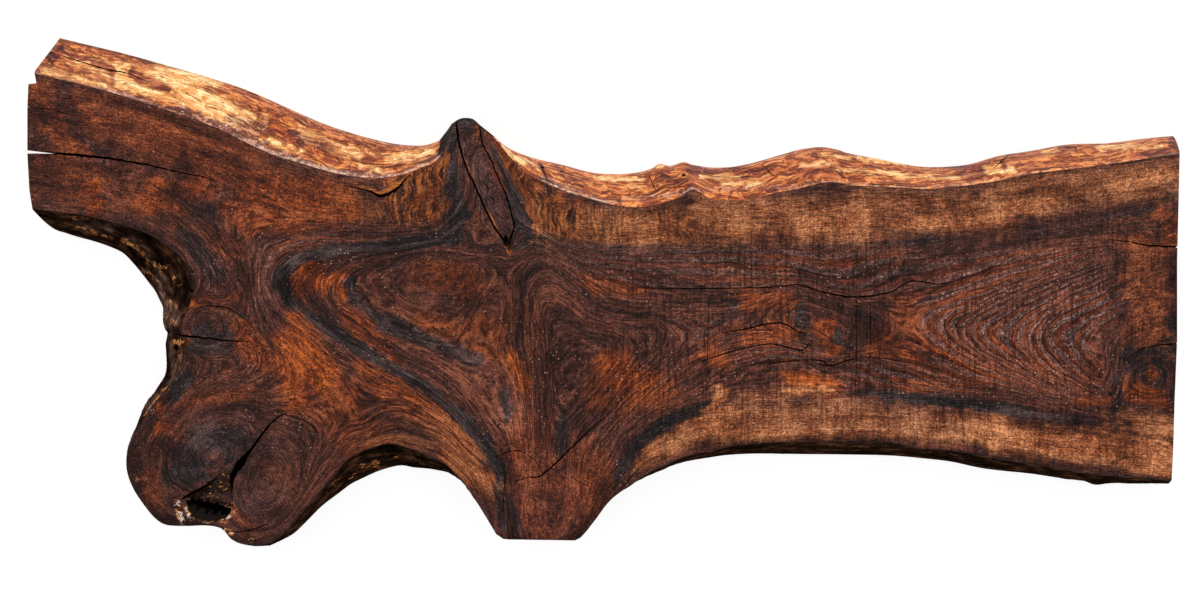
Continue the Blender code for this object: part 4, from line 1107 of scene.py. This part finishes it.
def dress_mesh(body, rows, whole):
    """Work out every painted mask, and sink the top face where it is sunken."""
    mesh = body.data
    places = vertex_array(mesh)
    points = drawn(places)
    value, slope = grain_field(points)
    shifted = streaked(points, value, slope)
    stray = [noise_values(points, 12.0, 31.0) * 7, noise_values(points, 7.0, 37.0) * 2.4]
    wane = points + np.stack(stray, axis=1)
    bark = points + np.stack([noise_values(points, 5.0, 41.0)] * 2, axis=1) * 2
    painted = (
        (shifted, {"charcoal": CHARCOAL, "sapwood": SAPWOOD, "glow": GLOW, "shadow": SHADOW, "fibres": FIBRES,
                   "ring_lines": RING_LINES}),
        (points, {"kerf": KERF_ZONES, "torn_wood_and_glint": TORN_AND_GLINT, "grit": GRIT, "rim": PAINTED_GLINT_RIM, "calm": CALM, "early": EARLY,
                  "mauve_face": MAUVE_FACE}),
        (wane, {"pale_and_highlight_wane": PALE_AND_HIGHLIGHT_WANE, "brown_wane": BROWN_WANE, "mauve_wane": MAUVE_WANE,
                "coal_wane": COAL_WANE, "grey_bark": GREY_BARK}),
        (bark, {"tan_fleck": TAN_FLECKS}),
    )
    masks = {name: paint(where, strokes) for where, named in painted for name, strokes in named.items()}
    buried = np.array([whole.find_nearest(p)[3] for p in places])
    height = THICKNESS - places[:, 2]
    flat = (height < 1e-6) & (buried < 1e-5)
    arris_band = (~flat & (height < ARRIS_BAND_HEIGHT) & (buried < 1e-5)).astype(float)
    # The painted highlight glints lie only on the rounded top corner
    masks["rim"] *= arris_band
    # The rounded top corner on the lower side of the drawing, which gets painted shade
    masks["painted_shade_lip"] = arris_band * (points[:, 1] > SHADED_LIP_LINE)
    masks["ledge"] = inside(points, LEDGE) * flat.astype(float)
    masks["ring"] = value
    masks["along"] = edge_places(places, rows)
    masks["depth"] = height / THICKNESS
    masks["buried"] = buried
    for name, values in masks.items():
        set_attribute(mesh, name, values)
    sink_top(mesh, places, points, masks["grit"])
    mesh.shade_smooth()
    mesh.set_sharp_from_angle(angle=SHARP_ANGLE)


def rgb(red, green, blue):
    """Screen colour from 0 to 255 as the renderer's linear colour."""
    def linear(value):
        value /= 255.0
        return value / 12.92 if value <= 0.04045 else ((value + 0.055) / 1.055) ** 2.4
    return (linear(red), linear(green), linear(blue), 1.0)


def gains(red, green, blue):
    """Factors for the three colours, which can be over 1."""
    return (red, green, blue, 1.0)


class Value:
    """A number, colour or vector of a node tree that can be written in sums."""

    def __init__(self, nodes, socket):
        self.nodes = nodes
        self.socket = socket

    def __add__(self, other):
        return self.nodes.maths("ADD", self, other)

    def __sub__(self, other):
        return self.nodes.maths("SUBTRACT", self, other)

    def __rsub__(self, other):
        return self.nodes.maths("SUBTRACT", other, self)

    def __mul__(self, other):
        return self.nodes.maths("MULTIPLY", self, other)

    def limited(self):
        """The same sum, kept between 0 and 1."""
        self.socket.node.use_clamp = True
        return self


class Nodes:
    """Short calls for building a material's node tree."""

    def __init__(self, name):
        self.material = bpy.data.materials.new(name)
        self.material.use_nodes = True
        self.tree = self.material.node_tree
        self.shader = self.tree.nodes["Principled BSDF"]

    def put(self, socket, value):
        """Link a socket, or set its number or colour."""
        if isinstance(value, Value):
            self.tree.links.new(value.socket, socket)
        else:
            socket.default_value = value

    def node(self, kind, inputs):
        """Add one node with its inputs, given by name or number."""
        made = self.tree.nodes.new("ShaderNode" + kind)
        for key, value in inputs.items():
            self.put(made.inputs[key], value)
        return made

    def attribute(self, name):
        """A number painted on the mesh."""
        made = self.node("Attribute", {})
        made.attribute_name = name
        return Value(self, made.outputs["Fac"])

    def maths(self, operation, a, b=0.0):
        """One sum on one or two numbers."""
        made = self.node("Math", {0: a, 1: b})
        made.operation = operation
        return Value(self, made.outputs[0])

    def vector(self, x, y, z):
        """Three numbers as one vector."""
        return Value(self, self.node("CombineXYZ", {0: x, 1: y, 2: z}).outputs[0])

    def place(self):
        """Place on the object in metres: the vector, then its three numbers."""
        here = Value(self, self.node("TexCoord", {}).outputs["Object"])
        return here, *(Value(self, number) for number in self.node("SeparateXYZ", {0: here}).outputs)

    def noise(self, vector, scale=1.0, detail=2.0, roughness=0.5, distortion=0.0):
        """Smooth noise around 0.5."""
        made = self.node("TexNoise", {"Vector": vector, "Scale": scale, "Detail": detail,
                                      "Roughness": roughness, "Distortion": distortion})
        return Value(self, made.outputs["Fac"])

    def specks(self, vector, scale, low, high, most):
        """Scattered round specks, solid as far out as low and gone at high, the faintest ones left out."""
        made = self.node("TexVoronoi", {"Vector": vector, "Scale": scale})
        return self.fall(Value(self, made.outputs["Distance"]), low, high) * self.fit(
            Value(self, made.outputs["Color"]), 0.55, most)

    def fit(self, value, low, high, new_low=0.0, new_high=1.0):
        """Stretch a range of numbers smoothly onto another."""
        made = self.node("MapRange", {"Value": value, "From Min": low, "From Max": high, "To Min": new_low,
                                      "To Max": new_high})
        made.interpolation_type = "SMOOTHSTEP"
        return Value(self, made.outputs["Result"])

    def fall(self, value, low, high):
        """From 1 at low to 0 at high."""
        return self.fit(value, low, high, 1.0, 0.0)

    def mix(self, factor, a, b, blend="MIX"):
        """Mix two colours."""
        made = self.tree.nodes.new("ShaderNodeMix")
        made.data_type = "RGBA"
        made.blend_type = blend
        for key, value in ((0, factor), (6, a), (7, b)):
            self.put(made.inputs[key], value)
        return Value(self, made.outputs[2])

    def ramp(self, factor, *stops, colours=rgb):
        """Colours along a line: each stop is a position and a screen colour, or what colours makes of it."""
        made = self.node("ValToRGB", {0: factor})
        band = made.color_ramp
        while len(band.elements) < len(stops):
            band.elements.new(0.5)
        for element, (position, *colour) in zip(band.elements, stops):
            element.position = position
            element.color = colours(*colour)
        return Value(self, made.outputs[0])

    def tint(self, colour, mask, tone, *stops):
        """Lay a ramp of colours over a colour where a mask is."""
        return self.mix(mask, colour, self.ramp(tone, *stops))

    def shade(self, colour, mask, tone):
        """Multiply a colour by another where a mask is."""
        return self.mix(mask, colour, self.mix(1.0, colour, tone, "MULTIPLY"))

    def surface(self, colour, roughness, specular, height, distance, strength):
        """Fill the shader, with small relief for the light only."""
        bump = self.node("Bump", {"Height": height, "Distance": distance, "Strength": strength})
        for name, value in (("Base Color", colour), ("Roughness", roughness), ("Specular IOR Level", specular),
                            ("Normal", Value(self, bump.outputs[0]))):
            self.put(self.shader.inputs[name], value)
        return self.material


def sawn_face_material():
    """The sawn and oiled faces: rings, charcoal bands, golden sapwood, glowing patches, saw marks and pores."""
    n = Nodes("walnut_sawn_face")
    here, x, y, _ = n.place()
    calm, ringy, early_zone = (n.attribute(name) for name in ("calm", "ring_lines", "early"))
    drift = n.noise(here, 30.0, 3.0) - 0.5
    ring = drift * 0.10 + n.attribute("ring")
    clean = drift * 0.035 + n.attribute("ring")

    def along_grain(value, across, along, detail, roughness=0.5):
        """Noise that changes fast from ring to ring and slowly from place to place."""
        return n.noise(n.vector(value * across, x * along, y * along), 1.0, detail, roughness)

    # The tone, from dark (0) to light (1): streaks along the grain, or soft clouds where the figure is calm
    broad = along_grain(ring, 9.0, 5.0, 4.0, 0.6)
    fine = along_grain(clean, 46.0, 14.0, 4.0, 0.65)
    fibre = along_grain(clean, 90.0, 60.0, 3.0, 0.6)
    wool = n.noise(here, 360.0, 2.0, 0.6, 1.6)
    streaky = broad * 0.85 + (fine * 0.4 + 0.18)
    plain = n.noise(here, 24.0, 5.0, 0.62, 0.4) * 0.9 + (broad * 0.4 + 0.14)
    tone = (fibre - 0.5) * 0.4 + ((plain - streaky) * calm + streaky)
    tone = n.fit((wool - 0.5) * 0.3 + tone, 0.48, 1.09)
    colour = n.ramp(tone, (0.0, 28, 18, 17), (0.35, 58, 35, 30), (0.65, 88, 51, 42), (1.0, 142, 82, 62))

    # Painted patches
    glow = (n.attribute("glow") * n.fit(tone, 0.05, 0.7, 0.4, 1.0)).limited()
    colour = n.tint(colour, glow, tone, (0.0, 78, 34, 17), (0.5, 136, 61, 28), (1.0, 206, 108, 50))
    sap = (n.attribute("sapwood") * n.fit(tone, 0.0, 0.5, 0.5, 1.0)).limited()
    colour = n.tint(colour, sap, tone, (0.0, 88, 44, 28), (0.45, 168, 96, 59), (1.0, 246, 168, 113))
    mauve = n.attribute("mauve_face") * 0.75
    colour = n.tint(colour, mauve, tone, (0.0, 38, 24, 25), (0.5, 84, 56, 54), (1.0, 134, 98, 94))
    streak = n.noise(n.vector(drift * 9.0 + x * 250.0, y * 30.0, 5.0), 1.0, 3.0, 0.6)
    fibres = n.attribute("fibres") * n.fit(n.noise(here, 45.0, 2.0), 0.35, 0.6, 0.4, 0.95)
    colour = n.tint(colour, fibres, streak, (0.4, 34, 19, 15), (0.5, 104, 54, 30), (0.6, 184, 106, 54))
    charcoal = n.attribute("charcoal")
    coal = n.fit((fine - 0.5) * 0.7 + charcoal, 0.32, 0.7) * n.fit(charcoal, 0.3, 1.0, 0.5, 0.96)
    colour = n.tint(colour, coal, tone, (0.0, 19, 17, 19), (0.5, 42, 36, 37), (1.0, 96, 80, 79))
    colour = n.shade(colour, n.attribute("shadow") * 0.85, rgb(110, 92, 88))

    # Growth rings: warm and pale early wood, then a dark line of late wood, wider apart towards the pith
    phase = n.maths("MINIMUM", clean - 0.6, 0.0) * RING_RATE + (clean * RING_RATE + 0.45)
    saw = n.maths("FRACT", phase)
    warm = n.fit(saw, 0.4, 0.6) * (early_zone * 0.6)
    colour = n.tint(colour, warm, tone, (0.0, 84, 36, 20), (0.5, 134, 62, 34), (1.0, 178, 90, 50))
    pale = n.fit(saw, 0.02, 0.12) * n.fall(saw, 0.4, 0.7) * (early_zone * 0.64) * (1.0 - coal)
    colour = n.tint(colour, pale, wool, (0.3, 66, 42, 38), (0.5, 120, 84, 76), (0.72, 204, 160, 148))
    ridge = n.fit(saw, 0.74, 0.93) * n.fall(saw, 0.965, 1.0) * n.fit(fine, 0.32, 0.6, 0.9, 0.45)
    colour = n.mix(ridge * (ringy * 0.62 + 0.05), colour, rgb(26, 16, 14))
    thin = n.maths("FRACT", phase * 2.7)
    thin = n.fit(thin, 0.6, 0.85) * n.fall(thin, 0.95, 1.0) * (n.maths("MAXIMUM", ringy, 0.35) * 0.42)
    colour = n.mix((thin * (1.0 - calm)).limited(), colour, rgb(30, 18, 15))

    # Dark hairlines and pores along the grain, and saw marks across the slab
    line = n.maths("ABSOLUTE", along_grain(clean, 13.0, 3.0, 1.0) - 0.5)
    line = n.fall(line, 0.0, 0.016) * n.fit(fine, 0.4, 0.6, 0.8, 0.15)
    colour = n.mix((line * (1.0 - calm)).limited(), colour, rgb(26, 16, 14))
    pore = n.fall(along_grain(clean, 200.0, 150.0, 1.0), 0.34, 0.43)
    colour = n.mix(pore * 0.6, colour, rgb(24, 14, 11))
    comb = n.noise(n.vector(x * 300.0, y * 24.0, 0.0), 1.0, 2.0, 0.6)
    comb_zone = n.attribute("kerf") * n.fit(n.noise(here, 16.0, 3.0), 0.3, 0.6, 0.3, 1.0)
    colour = n.shade(colour, n.fall(comb, 0.36, 0.56) * (comb_zone * 0.8), rgb(140, 124, 118))

    # Fine nap over everything, specks of painted highlight, the torn and crumbly places, and painted shade on
    # the rounded lower corners
    dashes = (fibre - 0.5) * 1.3 + 0.5
    nap = n.fit((wool - dashes) * (calm * 0.45 + 0.45) + dashes, 0.33, 0.67)
    nap = n.ramp(nap, (0.0, 0.5, 0.47, 0.46), (0.5, 0.94, 0.92, 0.91), (1.0, 1.6, 1.57, 1.55), colours=gains)
    colour = n.mix(1.0, colour, nap, "MULTIPLY")
    # Painted highlight: small pale specks that stand for glints on the rough surface, fewer where the figure is
    # calm
    painted_glint_zone = n.maths("MAXIMUM", n.fit(n.noise(here, 12.0, 2.0), 0.4, 0.62, 0.25, 1.0), early_zone)
    painted_glint_zone = painted_glint_zone * n.fit(calm, 0.0, 1.0, 1.0, 0.3) * 0.85
    colour = n.mix(n.specks(here, 260.0, 0.12, 0.3, 0.9) * painted_glint_zone, colour, rgb(204, 158, 140))
    # Torn wood at crack edges, and painted highlight along the lower right arris
    colour = n.mix(n.attribute("torn_wood_and_glint") * n.fit(fibre, 0.4, 0.6, 0.2, 1.0), colour, rgb(216, 124, 56))
    # Pale crumbs of rotten wood, the palest of them painted highlight
    crumbs = (n.attribute("grit") * n.fit(n.noise(here, 230.0, 2.0, 0.5, 0.8), 0.47, 0.56)).limited()
    colour = n.tint(colour, crumbs, n.noise(here, 130.0, 1.0), (0.35, 190, 96, 40), (0.5, 246, 190, 130),
                    (0.62, 255, 226, 214))
    ledge = n.attribute("ledge")
    colour = n.mix(ledge * 0.75, colour, rgb(44, 30, 25))
    colour = n.mix(ledge * n.fit(n.noise(here, 330.0, 1.0), 0.65, 0.7), colour, rgb(226, 150, 70))
    # Painted shade: the rounded top corner along the lower edges, away from the sun, darkened nearly to black
    colour = n.mix(n.attribute("painted_shade_lip") * 0.8, colour, rgb(28, 17, 13))
    height = fine * 0.4 + fibre * 0.6 - pore * 0.5 - ridge * 0.4 + comb * (comb_zone * 1.2) + wool * 0.9
    return n.surface(colour, n.fit(tone, 0.0, 1.0, 0.62, 0.42), 0.12, height, 0.6 * MM, 0.8)


def live_edge_material():
    """The debarked upper edge: golden and cream wood, the cream partly painted highlight, with brown streaks,
    loose flakes, a mauve-grey rim and painted glints.
    """
    n = Nodes("walnut_live_edge")
    here = n.place()[0]
    along = n.attribute("along")
    down = (n.noise(here, 24.0, 3.0) - 0.5) * 0.25 + n.attribute("depth")
    zones = (n.attribute(name) for name in ("pale_and_highlight_wane", "brown_wane", "mauve_wane"))
    pale_and_highlight_zone, brown_zone, mauve_zone = zones

    def edge_noise(rate_along, rate_down, seed, detail, roughness, distortion=0.0):
        """Noise that is stretched along the edge."""
        return n.noise(n.vector(along * rate_along, down * rate_down, seed), 1.0, detail, roughness, distortion)

    # The tone, from dark (0) to light (1): streaks along the edge, and flakes
    streak = edge_noise(16.0, 11.0, 0.0, 6.0, 0.68, 0.35)
    fine = edge_noise(45.0, 42.0, 4.0, 4.0, 0.65, 0.25)
    flake = edge_noise(55.0, 8.0, 2.0, 4.0, 0.6, 1.4)
    wool = n.noise(here, 330.0, 2.0, 0.6, 1.6)
    tone = streak * 0.75 + fine * 0.45 + n.fit(flake, 0.47, 0.53, -0.07, 0.07)
    tone = n.fit((wool - 0.5) * 0.12 + tone, 0.38, 0.84)
    colour = n.ramp(tone, (0.0, 84, 36, 20), (0.3, 142, 64, 29), (0.6, 196, 102, 46), (1.0, 246, 166, 88))

    # Painted patches, with edges that follow the streaks
    patch = edge_noise(26.0, 9.0, 8.0, 5.0, 0.68, 0.4) - 0.5
    # Pale cream patches, partly painted highlight
    pale = (n.fit(patch * 1.6 + pale_and_highlight_zone, 0.0, 0.85) * n.fit(pale_and_highlight_zone, 0.0, 0.6)).limited()
    colour = n.tint(colour, pale, tone, (0.0, 196, 108, 54), (0.4, 250, 180, 104), (1.0, 255, 236, 178))
    brown = (n.fit(patch * -1.8 + brown_zone, 0.15, 0.75) * n.fit(brown_zone, 0.0, 0.9)).limited()
    colour = n.shade(colour, brown, n.ramp(tone, (0.0, 112, 64, 54), (1.0, 196, 132, 112)))
    mauve = (n.fit(patch * 1.1 + mauve_zone, 0.15, 0.6) * n.fit(mauve_zone, 0.0, 0.9, 0.0, 0.85)).limited()
    colour = n.tint(colour, mauve, tone, (0.0, 60, 31, 26), (0.45, 128, 76, 60), (1.0, 214, 158, 134))

    # Dark seams, the dark lower rim, fine nap, specks of painted highlight, charred places and painted
    # highlight glints on the upper rim
    seam = n.maths("ABSOLUTE", edge_noise(9.0, 7.0, 7.0, 3.0, 0.5) - 0.5)
    colour = n.mix(n.fall(seam, 0.0, 0.016) * n.fit(fine, 0.42, 0.6, 0.95, 0.0), colour, rgb(60, 26, 15))
    rind = (n.fit(down, 0.9, 1.02) * n.fit(streak, 0.35, 0.6, 1.0, 0.35)).limited()
    colour = n.mix(rind, colour, rgb(62, 30, 19))
    nap = n.ramp(n.fit(wool, 0.33, 0.67), (0.0, 0.84, 0.8, 0.77), (1.0, 1.1, 1.1, 1.1), colours=gains)
    colour = n.mix(1.0, colour, nap, "MULTIPLY")
    # Painted highlight: tiny pale glint specks on the mauve rim
    specks = (n.specks(here, 240.0, 0.14, 0.3, 0.85) * mauve_zone).limited()
    colour = n.mix(specks, colour, rgb(255, 232, 214))
    coal = n.fit((fine - 0.5) * 0.7 + n.attribute("coal_wane"), 0.3, 0.6)
    colour = n.tint(colour, coal, tone, (0.0, 10, 8, 8), (1.0, 52, 36, 30))
    # Painted highlight: broken pale glints along the rounded top corner
    glint = n.attribute("rim") * n.fit(n.noise(here, 150.0, 4.0, 0.65), 0.42, 0.58, 0.1, 1.0)
    colour = n.mix(glint, colour, rgb(255, 224, 200))
    roughness = n.maths("MAXIMUM", n.fit(tone, 0.0, 1.0, 0.5, 0.32), n.fit(coal, 0.0, 1.0, 0.3, 1.0))
    height = streak * 1.6 + fine * 0.8 + wool * 0.15 + n.fit(flake, 0.47, 0.53, 0.0, 0.5)
    return n.surface(colour, roughness, 0.16, height, 1.6 * MM, 0.9)


def bark_edge_material():
    """The lower edges: nearly black rough wood with golden flecks and grey-brown knobs, their lighter tops
    partly painted highlight.
    """
    n = Nodes("walnut_bark_edge")
    _, x, y, z = n.place()
    here = n.vector(x * 0.45, y * 0.45, z)
    rough = n.noise(here, 130.0, 5.0, 0.7, 0.5)
    knob = n.noise(here, 70.0, 2.0, 0.5, 0.4)
    # Lighter brown where the relief stands high: partly painted highlight on the knobs
    tone = rough * 0.7 + knob * 0.35
    colour = n.ramp(tone, (0.42, 13, 8, 7), (0.55, 43, 27, 19), (0.68, 104, 68, 46))
    grey = n.attribute("grey_bark") * 0.9
    colour = n.tint(colour, grey, tone, (0.42, 28, 19, 17), (0.55, 92, 68, 58), (0.68, 176, 138, 120))
    across = n.vector(n.attribute("along") * 190.0, n.attribute("depth") * 24.0, 5.0)
    flakes = n.noise(across, 1.0, 2.0, 0.6, 0.8)
    zone = n.attribute("tan_fleck")
    fleck = (n.fit((flakes - 0.5) * 4.5 + zone, 0.6, 1.0) * n.fit(zone, 0.05, 0.5)).limited()
    colour = n.tint(colour, fleck, rough, (0.4, 158, 82, 34), (0.62, 242, 170, 108))
    return n.surface(colour, 0.7, 0.0, rough + knob, 3.0 * MM, 0.9)


def end_grain_material():
    """The sawn ends and foot: dark end grain with growth rings and rays."""
    n = Nodes("walnut_end_grain")
    here, _, y, z = n.place()
    bend = n.maths("POWER", n.maths("ABSOLUTE", y), 2.0) * 1.1
    ring = z + bend + n.noise(here, 20.0, 2.0) * 0.012
    bands = n.noise(n.vector(ring * 260.0, y * 6.0, 0.0), 1.0, 3.0, 0.6)
    rays = n.noise(n.vector(y * 700.0, z * 60.0, 3.0), 1.0, 2.0)
    tone = n.fit(bands * 0.8 + rays * 0.3, 0.35, 0.8)
    colour = n.ramp(tone, (0.0, 30, 18, 15), (0.5, 72, 44, 32), (1.0, 122, 78, 52))
    return n.surface(colour, 0.65, 0.1, bands + rays, 0.5 * MM, 0.6)


def cavity_material():
    """Inside cracks, pockets and the hollow: dark rough wood with pale crumbs near the mouth, and painted shade
    that makes it nearly black further in.
    """
    n = Nodes("walnut_cavity")
    rough = n.noise(n.place()[0], 240.0, 4.0, 0.7)
    # Painted shade: darker the further below the uncut surface, nearly black from 3.5 mm down
    painted_depth_shade = n.fit(n.attribute("buried"), 0.0, 3.5 * MM)
    colour = n.ramp(rough, (0.3, 26, 13, 9), (0.6, 58, 32, 20), (0.8, 104, 62, 34))
    colour = n.mix(n.attribute("grit") * n.fit(rough, 0.5, 0.58), colour, rgb(224, 160, 96))
    colour = n.mix(painted_depth_shade, colour, rgb(24, 17, 15))
    return n.surface(colour, 0.85, 0.05, rough, 1.0 * MM, 0.9)


def make_slab():
    """The finished slab, in place of the CAD node."""
    rows = outline_rows()
    bm = slab_mesh(rows)
    whole = bvhtree.BVHTree.FromBMesh(bm)
    body = object_from(bm, "walnut_slab_surface")
    for material in (sawn_face_material(), live_edge_material(), bark_edge_material(), end_grain_material(),
                     cavity_material()):
        body.data.materials.append(material)
    cut_slab(body, whole)
    dress_mesh(body, rows, whole)
    shift = Vector((ORIGIN.x, ORIGIN.y, 0.0))
    for vert in body.data.vertices:
        vert.co += shift
    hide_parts("walnut_slab")
    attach(body, "root")


def make_floor():
    """A plain pale floor that stays nearly white."""
    bpy.ops.mesh.primitive_plane_add(size=FLOOR_SIZE, location=(0.0, 0.0, -FLOOR_DROP))
    floor = bpy.context.object
    floor.name = "pale_floor"
    n = Nodes("pale_floor")
    for name, value in (("Base Color", gains(FLOOR_GREY, FLOOR_GREY, FLOOR_GREY)), ("Roughness", 1.0),
                        ("Specular IOR Level", 0.0), ("Emission Color", gains(1.0, 1.0, 1.0)),
                        ("Emission Strength", FLOOR_GLOW)):
        n.put(n.shader.inputs[name], value)
    floor.data.materials.append(n.material)
    return floor


def make_light(floor):
    """An even white sky, and a sun from beyond the upper edge that the floor doesn't receive."""
    world = bpy.data.worlds.new("white_room")
    bpy.context.scene.world = world
    world.use_nodes = True
    background = world.node_tree.nodes["Background"]
    background.inputs["Color"].default_value = gains(1.0, 1.0, 1.0)
    background.inputs["Strength"].default_value = SKY_STRENGTH
    sun = bpy.data.lights.new("key_sun", "SUN")
    sun.energy = SUN_STRENGTH
    sun.angle = SUN_WIDTH
    key = bpy.data.objects.new("key_sun", sun)
    bpy.context.scene.collection.objects.link(key)
    key.rotation_euler = Vector(SUN_DIRECTION).to_track_quat("-Z", "Y").to_euler()
    lit = bpy.data.collections.new("lit_by_sun")
    lit.objects.link(floor)
    key.light_linking.receiver_collection = lit
    lit.collection_objects[0].light_linking.link_state = "EXCLUDE"


def make_camera():
    """A camera straight above the drawing's middle, looking down."""
    data = bpy.data.cameras.new("camera")
    data.sensor_width = SENSOR_WIDTH
    data.lens = SENSOR_WIDTH * EYE_HEIGHT / (FRAME_STEPS * TOP_STEP)
    camera = bpy.data.objects.new("camera", data)
    bpy.context.scene.collection.objects.link(camera)
    camera.location = (ORIGIN.x, ORIGIN.y, THICKNESS + EYE_HEIGHT)
    bpy.context.scene.camera = camera


make_camera()
make_slab()
make_light(make_floor())
bpy.context.scene.view_settings.view_transform = "Standard"
